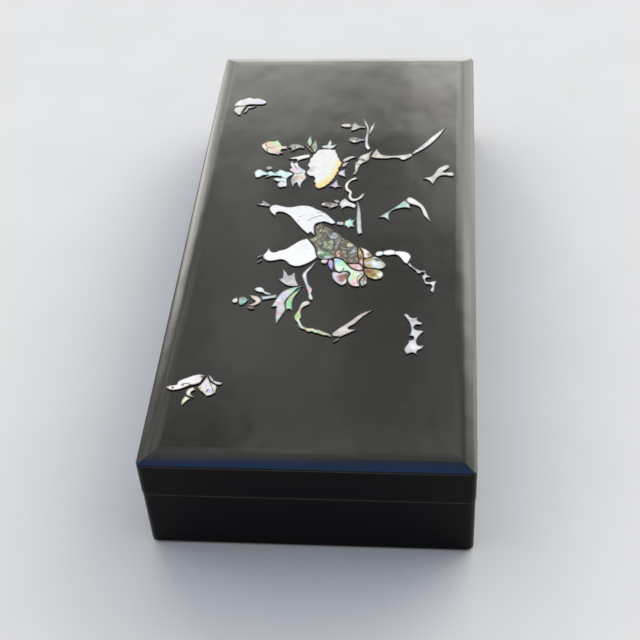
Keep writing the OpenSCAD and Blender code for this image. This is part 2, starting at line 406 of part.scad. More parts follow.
flutter_tail = [[-100.8, 46.4, 1], [-102.4, 44.9], [-104, 43.9], [-104.9, 42.3], [-105.5, 39.8, 1],
    [-106.5, 40.5], [-106.3, 42.3], [-105.2, 43.9], [-103.6, 45.4]];

// Butterfly at the right
glider_cream = [[95.7, 56.3], [97.7, 58.6], [100, 60], [102.4, 59.5], [103.6, 58], [103.5, 56],
    [104, 53.8, 1], [101, 55], [98.3, 55.7]];
glider_blue = [[104.3, 58.4], [103.4, 59.8, 1], [105.4, 60.2], [107.7, 59.2], [109.7, 57.8], [110.3, 56],
    [111.5, 54.4],
    [112, 52.2], [111.2, 50.2], [111.3, 47.4], [110, 44.8], [108.2, 42.9], [106.4, 43.6], [105.7, 46.6],
    [105.8, 50], [105.6, 52.6], [104.5, 54.4], [104, 56.4]];
glider_feeler = [[97.6, 54.5], [99.4, 52.6], [102, 51.9], [102.4, 50], [104.4, 48, 1], [103.4, 50.4],
    [103.4, 52.4], [101.4, 53.2], [99.2, 54]];

peacock_shell = [peacock_body, peacock_crest_left, peacock_crest_right];
train_shell = [train_fan, train_pink_tip, train_violet_tip, train_lilac_plume, train_green_plume,
    train_grey_strip, train_rose_leaf, train_amber_plume, train_white_plume, train_gold_tip,
    train_brown_strip];
plume_shell = [plume_strip, plume_stem];
peahen_shell = [peahen_body, peahen_crest, peahen_leg, peahen_foot];
ground_shell = [ground_bar, cloud_arch];
seedling_shell = [seedling_bud, seedling_side, seedling_leaf];
spray_shell = [spray_tip, spray_petal, spray_side, spray_cup, spray_stem, spray_bud];
leaf_shell = [leaf_upper, leaf_lower, three_point_leaf];
left_branch_shell = [branch_left, branch_thorn, branch_spur, branch_bird];
peony_shell = [peony_bloom, peony_tail];
peony_leaf_shell = [peony_pink_leaf, peony_blade, peony_violet_leaf, peony_lilac_leaf, peony_grey_leaf,
    peony_dusk_leaf];
green_leaf_shell = [green_leaf_top, green_leaf_middle, green_leaf_low];
bush_shell = [bush, bush_bud];
bud_shell = [bud_head, bud_leaf];
right_branch_shell = [branch_right, root_upper, root_blade];
twig_shell = [twig_upper, twig_lower, twig_bud, twig_flower_tip, twig_flower];
rock_shell = [rock_left, rock_middle_top, rock_middle_low, rock_right];
left_butterfly_shell = [flutter_wing, flutter_feeler, flutter_arm, flutter_low_wing, flutter_tail];
right_butterfly_shell = [glider_cream, glider_blue, glider_feeler];
middle_shell = concat(peacock_shell, train_shell, plume_shell, peahen_shell, ground_shell, seedling_shell,
    spray_shell, leaf_shell, left_branch_shell, peony_shell, peony_leaf_shell, green_leaf_shell,
    bush_shell, bud_shell, right_branch_shell, twig_shell);

// Sides that a group keeps to when the lid grows: left or right, front or back
to_middle = [0, 0];
to_front = [0, -1];
to_left_back = [-1, 1];
to_right_back = [1, 1];

// Smooth curve through a ring of points
function at(ring, i) = ring[(i + len(ring)) % len(ring)];
function spot(ring, i) = [at(ring, i)[0], at(ring, i)[1]];
function pointed(ring, i) = len(at(ring, i)) > 2;
function unit(v) = v / norm(v);
function chord(ring, i) = spot(ring, i + 1) - spot(ring, i);
function way_out(ring, i) =
    pointed(ring, i) ? chord(ring, i)
    : unit(spot(ring, i + 1) - spot(ring, i - 1)) * norm(chord(ring, i));
function way_in(ring, i) =
    pointed(ring, i + 1) ? chord(ring, i)
    : unit(spot(ring, i + 2) - spot(ring, i)) * norm(chord(ring, i));
function steps(ring, i) = pointed(ring, i) && pointed(ring, i + 1) ? 1 : curve_steps;
function along(ring, i, t) =
    (2 * t - 3) * t * t * spot(ring, i) + spot(ring, i) + (t - 1) * (t - 1) * t * way_out(ring, i)
    + (3 - 2 * t) * t * t * spot(ring, i + 1) + (t - 1) * t * t * way_in(ring, i);
function smooth(ring) =
    [for (i = [0 : len(ring) - 1]) for (j = [0 : steps(ring, i) - 1])
        scene_scale * along(ring, i, j / steps(ring, i))];

// The same curve with clearance all round
function side_way(a, b) = unit([b[1] - a[1], a[0] - b[0]]);
function turning(c) = [for (i = [0 : len(c) - 1]) cross(c[i], at(c, i + 1))] * [for (p = c) 1];
function grown(c, d) =
    [for (i = [0 : len(c) - 1])
        let (n = side_way(at(c, i - 1), c[i]), m = side_way(c[i], at(c, i + 1)))
        c[i] + sign(turning(c)) * d / max(0.5, 1 + n * m) * (n + m)];

// Points of an arc about a middle, from one angle to another
function bow(middle, r, from, to) =
    [for (i = [0 : bow_steps])
        let (a = from + (to - from) * i / bow_steps)
        middle + r * [cos(a), sin(a)]];

// Outline of the lid panel, cut across one pair of sides
module border_profile(half) {
    ease_middle = [half - bevel_run - ease_len, top_z - bevel_ease_r];
    edge_middle = [half - lid_edge_r, edge_z - edge_len];
    right = concat(
        [[half, panel_z]],
        bow(edge_middle, lid_edge_r, 0, 90 - bevel_a),
        bow(ease_middle, bevel_ease_r, 90 - bevel_a, 90));
    left = [for (i = [len(right) - 1 : -1 : 0]) [-right[i][0], right[i][1]]];
    polygon(concat(right, left));
}

// Flat plate with rounded corners
module rounded_plate(l, w, r) {
    square([l, w - 2 * r], center = true);
    square([l - 2 * r, w], center = true);
    for (x = [-1, 1]) for (y = [-1, 1])
        translate([x * (l / 2 - r), y * (w / 2 - r)]) circle(r);
}

// Upright section of a wall with its outer edges rounded
module wall_section(depth, low, high, low_r, high_r) {
    difference() {
        translate([0, low]) square([depth, high - low]);
        translate([depth - low_r, low]) square(low_r);
        if (high_r > 0)
            translate([depth - high_r, high - high_r]) square(high_r);
    }
    translate([depth - low_r, low + low_r]) circle(low_r);
    if (high_r > 0)
        translate([depth - high_r, high - high_r]) circle(high_r);
}

// Back wall of a frame, with both rounded corners
module long_wall(l, w, low, high, low_r, high_r) {
    translate([0, w / 2 - corner_r, 0]) rotate([90, 0, 90])
        linear_extrude(l - 2 * corner_r, center = true)
            wall_section(corner_r, low, high, low_r, high_r);
    translate([corner_r - l / 2, w / 2 - wall_t, low])
        cube([l - 2 * corner_r, wall_t - corner_r, high - low]);
    for (s = [0, 1]) mirror([s, 0, 0]) {
        translate([l / 2 - corner_r, w / 2 - corner_r, 0])
            rotate_extrude(angle = 90) wall_section(corner_r, low, high, low_r, high_r);
        translate([l / 2 - corner_r, w / 2 - corner_r, 0]) rotate([90, 0, 0])
            linear_extrude(wall_t - corner_r) wall_section(corner_r, low, high, low_r, high_r);
    }
}

// Right wall of a frame, between the two long walls
module short_wall(l, w, low, high, low_r, high_r) {
    translate([l / 2 - wall_t, 0, 0]) rotate([90, 0, 0])
        linear_extrude(w - 2 * wall_t, center = true)
            wall_section(wall_t, low, high, low_r, high_r);
}

module slab(l, w, low, high) {
    translate([-l / 2, -w / 2, low]) cube([l, w, high - low]);
}

module base_rabbet() {
    slab(room_l + 2 * rabbet_w, room_w + 2 * rabbet_w, foot_z - cut_past, floor_z);
}

module base_long_wall() {
    difference() {
        long_wall(base_l, base_w, foot_z, rim_z, foot_r, rim_r);
        base_rabbet();
    }
}

module base_short_wall() {
    difference() {
        short_wall(base_l, base_w, foot_z, rim_z, foot_r, rim_r);
        base_rabbet();
    }
}

// Velvet boards on the inside of a frame
module long_board(l, w, low, high) {
    translate([lining_fit - l / 2, w / 2 - lining_t, low])
        cube([l - 2 * lining_fit, lining_t, high - low]);
}

module short_board(l, w, low, high) {
    run = w - 2 * lining_t - 2 * lining_fit;
    translate([l / 2 - lining_t, -run / 2, low]) cube([lining_t, run, high - low]);
}

// Hinge parts, drawn for a hinge at the middle of the back
module hinge_places() {
    for (x = [-1, 1]) translate([x * hinge_spacing / 2, 0, 0]) children();
}

module knuckle(i, r) {
    translate([i * (knuckle_l + knuckle_gap) - hinge_l / 2, axis_y, axis_z])
        rotate([0, 90, 0]) cylinder(r = r, h = knuckle_l);
}

module wing(from, along_x, length, turn, low) {
    translate([0, axis_y, axis_z]) rotate([turn, 0, 0])
        translate([along_x, from, low]) cube([length, wing_reach - from, leaf_t]);
}

module screw_cones(z, up) {
    for (x = [-1, 1]) translate([x * screw_spacing / 2, screw_y, z]) mirror([0, 0, up])
        translate([0, 0, -screw_cone_h]) cylinder(r1 = screw_r, r2 = screw_head_r, h = screw_cone_h);
}

module screw_shanks(z, up, r) {
    for (x = [-1, 1]) translate([x * screw_spacing / 2, screw_y, z]) mirror([0, 0, up])
        translate([0, 0, -screw_l]) cylinder(r = r, h = screw_l);
}

module hinge_leaf(knuckles, low, turn, wing_low, screw_z, up) {
    difference() {
        union() {
            translate([-hinge_l / 2, leaf_in, low]) cube([hinge_l, leaf_out - leaf_in, leaf_t]);
            wing(barrel_room, -hinge_l / 2, hinge_l, turn, wing_low);
            for (i = knuckles) {
                start = i * (knuckle_l + knuckle_gap) - hinge_l / 2;
                knuckle(i, barrel_r);
                translate([start, leaf_out - leaf_t, low])
                    cube([knuckle_l, axis_y - leaf_out + leaf_t, leaf_t]);
                wing((bore_r + barrel_r) / 2, start + knuckle_gap, knuckle_l - 2 * knuckle_gap, turn,
                    wing_low);
            }
        }
        translate([-hinge_l / 2 - cut_past, axis_y, axis_z]) rotate([0, 90, 0])
            cylinder(r = bore_r, h = hinge_l + 2 * cut_past);
        screw_cones(screw_z, up);
        screw_shanks(screw_z, up, screw_r + screw_fit);
    }
}

module base_leaf() {
    color(brass) hinge_leaf([0, 2, 4], rim_z - leaf_t, -wing_a, -leaf_t, rim_z, 0);
}

module lid_leaf() {
    color(brass) hinge_leaf([1, 3], lid_z, wing_a, 0, lid_z, 1);
}

module hinge_pin() {
    color(steel) {
        translate([-hinge_l / 2, axis_y, axis_z]) rotate([0, 90, 0]) cylinder(r = pin_r, h = hinge_l);
        for (s = [0, 1]) mirror([s, 0, 0])
            translate([hinge_l / 2, axis_y, axis_z]) rotate([0, 90, 0])
                cylinder(r = pin_head_r, h = pin_head_t);
    }
}

module hinge_screws(z, up) {
    color(brass) hinge_places() {
        screw_cones(z, up);
        screw_shanks(z, up, screw_r);
    }
}

module leaf_recess(low, high) {
    hinge_places() {
        translate([-hinge_l / 2 - leaf_fit, leaf_in - leaf_fit, low])
            cube([hinge_l + 2 * leaf_fit, axis_y + cut_past - leaf_in + leaf_fit, high - low]);
        translate([-barrel_relief_l / 2, axis_y, axis_z]) rotate([0, 90, 0])
            cylinder(r = barrel_room, h = barrel_relief_l);
    }
}

// Base
module base_bottom_panel() {
    color(lacquer) slab(room_l + 2 * rabbet_w - 2 * panel_fit, room_w + 2 * rabbet_w - 2 * panel_fit,
        foot_z, floor_z);
}

module base_front_wall() {
    color(lacquer) mirror([0, 1, 0]) base_long_wall();
}

module base_back_wall() {
    color(lacquer) difference() {
        base_long_wall();
        leaf_recess(rim_z - leaf_t, rim_z + cut_past);
        hinge_places() screw_shanks(rim_z, 0, screw_r - screw_bite);
    }
}

module base_left_wall() {
    color(lacquer) mirror([1, 0, 0]) base_short_wall();
}

module base_right_wall() {
    color(lacquer) base_short_wall();
}

module base_felt() {
    color(felt) linear_extrude(felt_t)
        rounded_plate(base_l - 2 * felt_inset, base_w - 2 * felt_inset, corner_r);
}

module base_floor_lining() {
    color(velvet) slab(room_l - 2 * (lining_t + lining_fit), room_w - 2 * (lining_t + lining_fit), floor_z,
        floor_z + lining_t);
}

module base_front_lining() {
    color(velvet) mirror([0, 1, 0]) long_board(room_l, room_w, floor_z, rim_z - lining_drop);
}

module base_back_lining() {
    color(velvet) long_board(room_l, room_w, floor_z, rim_z - lining_drop);
}

module base_left_lining() {
    color(velvet) mirror([1, 0, 0]) short_board(room_l, room_w, floor_z, rim_z - lining_drop);
}

module base_right_lining() {
    color(velvet) short_board(room_l, room_w, floor_z, rim_z - lining_drop);
}

// Lid
module recesses(rings, side) {
    for (ring = rings)
        translate([scene_x + side[0] * spare_l, scene_y + side[1] * spare_w, shell_z])
            linear_extrude(shell_t) polygon(grown(smooth(ring), shell_fit));
}

module lid_top_panel() {
    color(lacquer) difference() {
        intersection() {
            rotate([90, 0, 0]) linear_extrude(box_w, center = true) border_profile(box_l / 2);
            rotate([90, 0, 90]) linear_extrude(box_l, center = true) border_profile(box_w / 2);
            translate([0, 0, panel_z]) linear_extrude(lid_panel_t) rounded_plate(box_l, box_w, corner_r);
        }
        recesses(middle_shell, to_middle);
        recesses(rock_shell, to_front);
        recesses(left_butterfly_shell, to_left_back);
        recesses(right_butterfly_shell, to_right_back);
    }
}

module lid_front_rail() {
    color(lacquer) mirror([0, 1, 0]) long_wall(box_l, box_w, lid_z, panel_z, lid_foot_r, 0);
}

module lid_back_rail() {
    color(lacquer) difference() {
        long_wall(box_l, box_w, lid_z, panel_z, lid_foot_r, 0);
        leaf_recess(lid_z - cut_past, lid_z + leaf_t);
        hinge_places() screw_shanks(lid_z, 1, screw_r - screw_bite);
    }
}

module lid_left_rail() {
    color(lacquer) mirror([1, 0, 0]) short_wall(box_l, box_w, lid_z, panel_z, lid_foot_r, 0);
}

module lid_right_rail() {
    color(lacquer) short_wall(box_l, box_w, lid_z, panel_z, lid_foot_r, 0);
}

module lid_panel_lining() {
    color(velvet) slab(lid_room_l - 2 * lining_fit, lid_room_w - 2 * lining_fit, panel_z - lining_t,
    panel_z);
}

module lid_front_lining() {
    color(velvet) mirror([0, 1, 0])
        long_board(lid_room_l, lid_room_w, lid_z + lining_drop, panel_z - lining_t);
}

module lid_back_lining() {
    color(velvet) long_board(lid_room_l, lid_room_w, lid_z + lining_drop, panel_z - lining_t);
}

module lid_left_lining() {
    color(velvet) mirror([1, 0, 0])
        short_board(lid_room_l, lid_room_w, lid_z + lining_drop, panel_z - lining_t);
}

module lid_right_lining() {
    color(velvet) short_board(lid_room_l, lid_room_w, lid_z + lining_drop, panel_z - lining_t);
}

// Hinges
module left_hinge_base_leaf() {
    translate([-hinge_spacing / 2, 0, 0]) base_leaf();
}

module right_hinge_base_leaf() {
    translate([hinge_spacing / 2, 0, 0]) base_leaf();
}

module left_hinge_lid_leaf() {
    translate([-hinge_spacing / 2, 0, 0]) lid_leaf();
}

module right_hinge_lid_leaf() {
    translate([hinge_spacing / 2, 0, 0]) lid_leaf();
}

module left_hinge_pin() {
    translate([-hinge_spacing / 2, 0, 0]) hinge_pin();
}

module right_hinge_pin() {
    translate([hinge_spacing / 2, 0, 0]) hinge_pin();
}

module base_hinge_screws() {
    hinge_screws(rim_z, 0);
}

module lid_hinge_screws() {
    hinge_screws(lid_z, 1);
}

// Shell
module inlay(rings, side) {
    for (ring = rings)
        translate([scene_x + side[0] * spare_l, scene_y + side[1] * spare_w, shell_z])
            linear_extrude(shell_t) polygon(smooth(ring));
}

module inlay_peacock() {
    color(pearl) inlay(peacock_shell, to_middle);
}

module inlay_peacock_train() {
    color(abalone) inlay(train_shell, to_middle);
}

module inlay_trailing_plume() {
    color(pearl) inlay(plume_shell, to_middle);
}

module inlay_peahen() {
    color(pearl) inlay(peahen_shell, to_middle);
}

module inlay_ground() {
    color(pearl) inlay(ground_shell, to_middle);
}

module inlay_seedling() {
    color(rose) inlay(seedling_shell, to_middle);
}

module inlay_flower_spray() {
    color(rose) inlay(spray_shell, to_middle);
}

module inlay_left_leaves() {
    color(abalone) inlay(leaf_shell, to_middle);
}

module inlay_left_branches() {
    color(rose) inlay(left_branch_shell, to_middle);
}

module inlay_peony() {
    color(pearl) inlay(peony_shell, to_middle);
}

module inlay_peony_leaves() {
    color(rose) inlay(peony_leaf_shell, to_middle);
}

module inlay_green_leaves() {
    color(jade) inlay(green_leaf_shell, to_middle);
}

module inlay_bush() {
    color(jade) inlay(bush_shell, to_middle);
}

module inlay_bud() {
    color(rose) inlay(bud_shell, to_middle);
}

module inlay_right_branch() {
    color(pearl) inlay(right_branch_shell, to_middle);
}

module inlay_right_twig() {
    color(rose) inlay(twig_shell, to_middle);
}

module inlay_rocks() {
    color(pearl) inlay(rock_shell, to_front);
}

module inlay_left_butterfly() {
    color(pearl) inlay(left_butterfly_shell, to_left_back);
}

module inlay_right_butterfly() {
    color(pearl) inlay(right_butterfly_shell, to_right_back);
}

base_bottom_panel();
base_front_wall();
base_back_wall();
base_left_wall();
base_right_wall();
base_felt();
base_floor_lining();
base_front_lining();
base_back_lining();
base_left_lining();
base_right_lining();
left_hinge_base_leaf();
right_hinge_base_leaf();
left_hinge_pin();
right_hinge_pin();
base_hinge_screws();
lid_top_panel();
lid_front_rail();
lid_back_rail();
lid_left_rail();
lid_right_rail();
lid_panel_lining();
lid_front_lining();
lid_back_lining();
lid_left_lining();
lid_right_lining();
left_hinge_lid_leaf();
right_hinge_lid_leaf();
lid_hinge_screws();
inlay_peacock();
inlay_peacock_train();
inlay_trailing_plume();
inlay_peahen();
inlay_ground();
inlay_seedling();
inlay_flower_spray();
inlay_left_leaves();
inlay_left_branches();
inlay_peony();
inlay_peony_leaves();
inlay_green_leaves();
inlay_bush();
inlay_bud();
inlay_right_branch();
inlay_right_twig();
inlay_rocks();
inlay_left_butterfly();
inlay_right_butterfly();
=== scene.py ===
import math

import bpy
import numpy as np
from mathutils import Euler, Matrix, Vector


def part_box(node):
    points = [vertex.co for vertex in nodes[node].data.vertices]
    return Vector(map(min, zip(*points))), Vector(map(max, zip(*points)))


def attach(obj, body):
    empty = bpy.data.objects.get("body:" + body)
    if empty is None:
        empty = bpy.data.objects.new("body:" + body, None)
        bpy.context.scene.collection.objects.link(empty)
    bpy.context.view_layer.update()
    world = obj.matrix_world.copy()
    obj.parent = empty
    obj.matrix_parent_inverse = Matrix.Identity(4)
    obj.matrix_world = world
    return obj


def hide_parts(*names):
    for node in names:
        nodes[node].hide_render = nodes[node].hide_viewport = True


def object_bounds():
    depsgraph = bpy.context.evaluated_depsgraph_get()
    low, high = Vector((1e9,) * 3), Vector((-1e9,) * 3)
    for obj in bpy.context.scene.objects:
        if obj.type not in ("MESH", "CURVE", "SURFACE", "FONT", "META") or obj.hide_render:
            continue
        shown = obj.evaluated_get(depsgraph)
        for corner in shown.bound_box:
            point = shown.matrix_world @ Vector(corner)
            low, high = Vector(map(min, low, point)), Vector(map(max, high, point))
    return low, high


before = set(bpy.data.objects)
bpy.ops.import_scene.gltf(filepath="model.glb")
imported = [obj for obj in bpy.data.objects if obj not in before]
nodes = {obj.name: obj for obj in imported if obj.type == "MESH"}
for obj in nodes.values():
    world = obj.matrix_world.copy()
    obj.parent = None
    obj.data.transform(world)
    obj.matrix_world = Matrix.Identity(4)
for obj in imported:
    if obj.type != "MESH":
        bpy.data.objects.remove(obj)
cad_low, cad_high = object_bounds()
scene = bpy.context.scene
scene.view_settings.view_transform = "Standard"
MM = 1000.0  # millimetres in a metre, the unit of the frame
lid_low, lid_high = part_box("lid_top_panel")


# Camera, fitted to the edges of the box in the photograph
PHOTO_SIZE = 640
FOCAL_LENGTH = 1345.12  # in pixels of the photograph
SENSOR_WIDTH = 36.0
CAMERA_PLACE = Vector((-0.503971, -0.05549, 0.474409))
CAMERA_TURN = (46.3198, 2.9716, -85.6274)  # degrees about X, Y and Z

camera = bpy.data.objects.new("photo_camera", bpy.data.cameras.new("photo_camera"))
camera.data.sensor_width = SENSOR_WIDTH
camera.data.lens = SENSOR_WIDTH * FOCAL_LENGTH / PHOTO_SIZE
camera.data.clip_start = 0.01
camera_turn = Euler([math.radians(angle) for angle in CAMERA_TURN])
camera.matrix_world = Matrix.LocRotScale(CAMERA_PLACE, camera_turn, None)
scene.collection.objects.link(camera)
scene.camera = camera


# Small helpers for shader nodes
def srgb(r, g, b):
    def one(v):
        v /= 255
        return v / 12.92 if v <= 0.04045 else ((v + 0.055) / 1.055) ** 2.4

    return (one(r), one(g), one(b), 1.0)


class Graph:
    """Writes the nodes of one tree. Lengths are millimetres in the frame of the box."""

    def __init__(self, tree):
        self.tree = tree
        tree.nodes.clear()

    def node(self, kind, inputs=None, **settings):
        made = self.tree.nodes.new("ShaderNode" + kind)
        for key, value in settings.items():
            setattr(made, key, value)
        for key, value in (inputs or {}).items():
            self.feed(made.inputs[key], value)
        return made

    def feed(self, socket, value):
        if isinstance(value, bpy.types.NodeSocket):
            self.tree.links.new(value, socket)
        else:
            socket.default_value = value

    def place(self):
        coords = self.node("TexCoord").outputs["Object"]
        return self.node("VectorMath", {0: coords, "Scale": MM}, operation="SCALE").outputs[0]

    def parts(self, p):
        return self.node("SeparateXYZ", {0: p}).outputs

    def vector(self, operation, a, b):
        return self.node("VectorMath", {0: a, 1: b}, operation=operation).outputs[0]

    def stretched(self, p, factors):
        return self.vector("MULTIPLY", p, factors)

    def flat(self, p):
        return self.stretched(p, (1, 1, 0))

    def distance(self, p, x, y):
        made = self.node("VectorMath", {0: self.flat(p), 1: (x, y, 0)}, operation="DISTANCE")
        return made.outputs["Value"]

    def math(self, operation, a, b=0.0):
        return self.node("Math", {0: a, 1: b}, operation=operation).outputs[0]

    def product(self, *factors):
        total = factors[0]
        for factor in factors[1:]:
            total = self.math("MULTIPLY", total, factor)
        return total

    def off(self, value, middle):
        """How far a value is from a middle, either way."""
        return self.math("ABSOLUTE", self.math("SUBTRACT", value, middle))

    def fade(self, value, low, high, start=0.0, end=1.0):
        """Goes smoothly from start to end as the value goes from low to high, which may be the lesser."""
        limits = {"From Min": low, "From Max": high, "To Min": start, "To Max": end}
        made = self.node("MapRange", {"Value": value, **limits}, interpolation_type="SMOOTHSTEP")
        return made.outputs[0]

    def mix(self, factor, a, b, blend="MIX"):
        made = self.node("Mix", data_type="RGBA", blend_type=blend)
        factor_in, a_in, b_in = (made.inputs[k] for k in (0, 6, 7))  # the sockets for colours
        for socket, value in ((factor_in, factor), (a_in, a), (b_in, b)):
            self.feed(socket, value)
        return made.outputs[2]

    def ramp(self, value, stops):
        made = self.node("ValToRGB", {"Fac": value})
        elements = made.color_ramp.elements
        for element, (at, tone) in zip(elements, (stops[0], stops[-1])):
            element.position = at
            element.color = srgb(*tone)
        for at, tone in stops[1:-1]:
            elements.new(at).color = srgb(*tone)
        return made.outputs[0]

    def noise(self, p, scale, detail=2.0, rough=0.5, warp=0.0, output=0):
        looks = {"Scale": scale, "Detail": detail, "Roughness": rough, "Distortion": warp}
        return self.node("TexNoise", {"Vector": p, **looks}).outputs[output]

    def cells(self, p, scale, feature="F1", output="Distance"):
        return self.node("TexVoronoi", {"Vector": p, "Scale": scale}, feature=feature).outputs[output]

    def bump(self, height, depth_mm, below=None):
        made = self.node("Bump", {"Height": height, "Strength": 1.0, "Distance": depth_mm / MM})
        if below is not None:
            self.feed(made.inputs["Normal"], below)
        return made.outputs[0]


def material(name):
    made = bpy.data.materials.new(name)
    made.use_nodes = True
    g = Graph(made.node_tree)
    skin = g.node("BsdfPrincipled")
    out = g.node("OutputMaterial")
    g.feed(out.inputs["Surface"], skin.outputs[0])
    return made, g, skin


def dress(names, look):
    for name in names:
        mesh = nodes[name].data
        mesh.materials.clear()
        mesh.materials.append(look)


# Black lacquer: hand polished, with slow waves, level polishing streaks and a little dust. On the lid the
# polish makes the sloped border roll off softly.
LACQUER = (3, 3, 4)
LACQUER_CLOUD = (8, 7, 7)
DUST = (120, 118, 112)
POLISHED = 0.5  # specular levels
DULL = 0.09
ROLL_FROM = 9.0  # distances from the lid's edge between which the border rolls off
ROLL_TO = 0.5


def make_lacquer(name, gloss, soft_border=False):
    look, g, skin = material(name)
    p = g.place()
    waves = g.noise(g.stretched(p, (0.8, 1.2, 1.0)), scale=0.03)
    streaks = g.noise(g.stretched(p, (1.6, 0.05, 1.6)), scale=1.0, detail=3.0, rough=0.6)
    cloud = g.noise(p, scale=0.05, detail=4.0, rough=0.6)
    speck = g.fade(g.cells(p, scale=0.16), 0.035, 0.025)
    black = g.mix(cloud, srgb(*LACQUER), srgb(*LACQUER_CLOUD))
    g.feed(skin.inputs["Base Color"], g.mix(g.product(speck, 0.35), black, srgb(*DUST)))
    haze = g.math("ADD", g.product(streaks, 0.6), g.product(cloud, 0.4))
    rough = g.math("ADD", g.fade(haze, 0.3, 0.7, 0.05, 0.12), g.product(speck, 0.4))
    g.feed(skin.inputs["Roughness"], rough)
    skin.inputs["IOR"].default_value = 1.52
    skin.inputs["Specular IOR Level"].default_value = gloss
    relief = g.bump(waves, depth_mm=0.30)
    if soft_border:
        x, y, _ = g.parts(p)
        from_end = g.math("SUBTRACT", MM * lid_high[0], g.math("ABSOLUTE", x))
        from_side = g.math("SUBTRACT", MM * lid_high[1], g.math("ABSOLUTE", y))
        border = g.fade(g.math("MINIMUM", from_end, from_side), ROLL_FROM, ROLL_TO)
        relief = g.bump(border, depth_mm=0.8, below=relief)
    g.feed(skin.inputs["Normal"], g.bump(streaks, depth_mm=0.006, below=relief))
    return look


# The faces that look up are polished as the lid is. The others are duller, because the pale floor would
# show in them.
LOOKS_UP = 0.2  # least upward part of the normal


def dress_lacquer(names, upper, other):
    dress(names, other)
    for name in names:
        mesh = nodes[name].data
        mesh.materials.append(upper)
        looks_up = [int(face.normal.z > LOOKS_UP) for face in mesh.polygons]
        mesh.polygons.foreach_set("material_index", looks_up)


wall_lacquer = make_lacquer("black_lacquer", DULL)
wooden = [name for name in nodes if name.endswith(("_wall", "_rail"))] + ["base_bottom_panel"]
dress_lacquer(wooden, make_lacquer("black_lacquer_rim", POLISHED), wall_lacquer)
dress_lacquer(["lid_top_panel"], make_lacquer("black_lacquer_lid", POLISHED, soft_border=True), wall_lacquer)


# Shell. Places on it are written in the drawing of the scene, which sits on the flat top of the lid,
# scaled to its length and shifted.
BORDER_RUN = 7.0
DRAWN_LENGTH = 293.0
DRAWING_SCALE = (MM * (lid_high[0] - lid_low[0]) - 2 * BORDER_RUN) / DRAWN_LENGTH
DRAWING_SHIFT = (-1.8, -0.6)
SHELL_TOP = MM * cad_high[2]

PLAY_TONES = ((0.3, (236, 176, 200)), (0.5, (226, 230, 240)), (0.7, (176, 226, 196)))
CHIP_TONES = (
    (0.0, (52, 44, 38)), (0.3, (110, 92, 80)), (0.5, (166, 172, 150)),
    (0.7, (196, 188, 176)), (0.85, (206, 220, 226)), (1.0, (244, 246, 244)),
)
LAYER_TONE = (146, 142, 138)
SHADED = (70, 62, 58)
SHINING = (250, 250, 247)
ENGRAVED = (40, 34, 30)
# painted shade on the sides of the shell pieces, below their face
SIDE_SHADE = (26, 23, 22)
LINE_STRENGTH = 0.85


def arc(a, b, c):
    """Middle and radius of the circle through three points. A straight row of points is bent a little."""
    (ax, ay), (bx, by), (cx, cy) = a, b, c

    def doubled_area():
        return 2 * (ax * (by - cy) + bx * (cy - ay) + cx * (ay - by))

    if abs(doubled_area()) < 1e-3:
        bx += 1e-2
    aa, bb, cc = ax**2 + ay**2, bx**2 + by**2, cx**2 + cy**2
    x = (aa * (by - cy) + bb * (cy - ay) + cc * (ay - by)) / doubled_area()
    y = (aa * (cx - bx) + bb * (ax - cx) + cc * (bx - ax)) / doubled_area()
    return x, y, math.hypot(ax - x, ay - y)


def along(g, place, a, b, c, width, core, end):
    """A soft band along the arc from a through b to c, full in its core and fading past its ends."""
    x, y, radius = arc(a, b, c)
    reach = max(math.dist(a, b), math.dist(b, c))
    across = g.fade(g.off(g.distance(place, x, y), radius), width, core * width)
    return g.product(across, g.fade(g.distance(place, *b), reach + end, reach - end))


def chipped(g, place, colour, scale):
    """A mosaic of small chips of shell, and the dark seams between them."""
    flat = g.flat(place)
    kind = g.node("SeparateColor", {0: g.cells(flat, scale, output="Color")}).outputs[0]
    seams = g.fade(g.cells(flat, scale, feature="DISTANCE_TO_EDGE"), 0.13, 0.03, 0.0, 0.6)
    return g.mix(0.85, colour, g.ramp(kind, CHIP_TONES), "OVERLAY"), seams


def feathered(g, place, angle):
    """Fine strokes along a direction, in degrees from X."""
    turned = g.node("VectorRotate", {"Vector": g.flat(place)}, rotation_type="Z_AXIS")
    turned.inputs["Angle"].default_value = math.radians(-angle)
    grain = g.stretched(turned.outputs[0], (0.45, 2.2, 0))
    return g.fade(g.noise(grain, scale=0.7, warp=0.5), 0.56, 0.7, 0.0, 0.2)


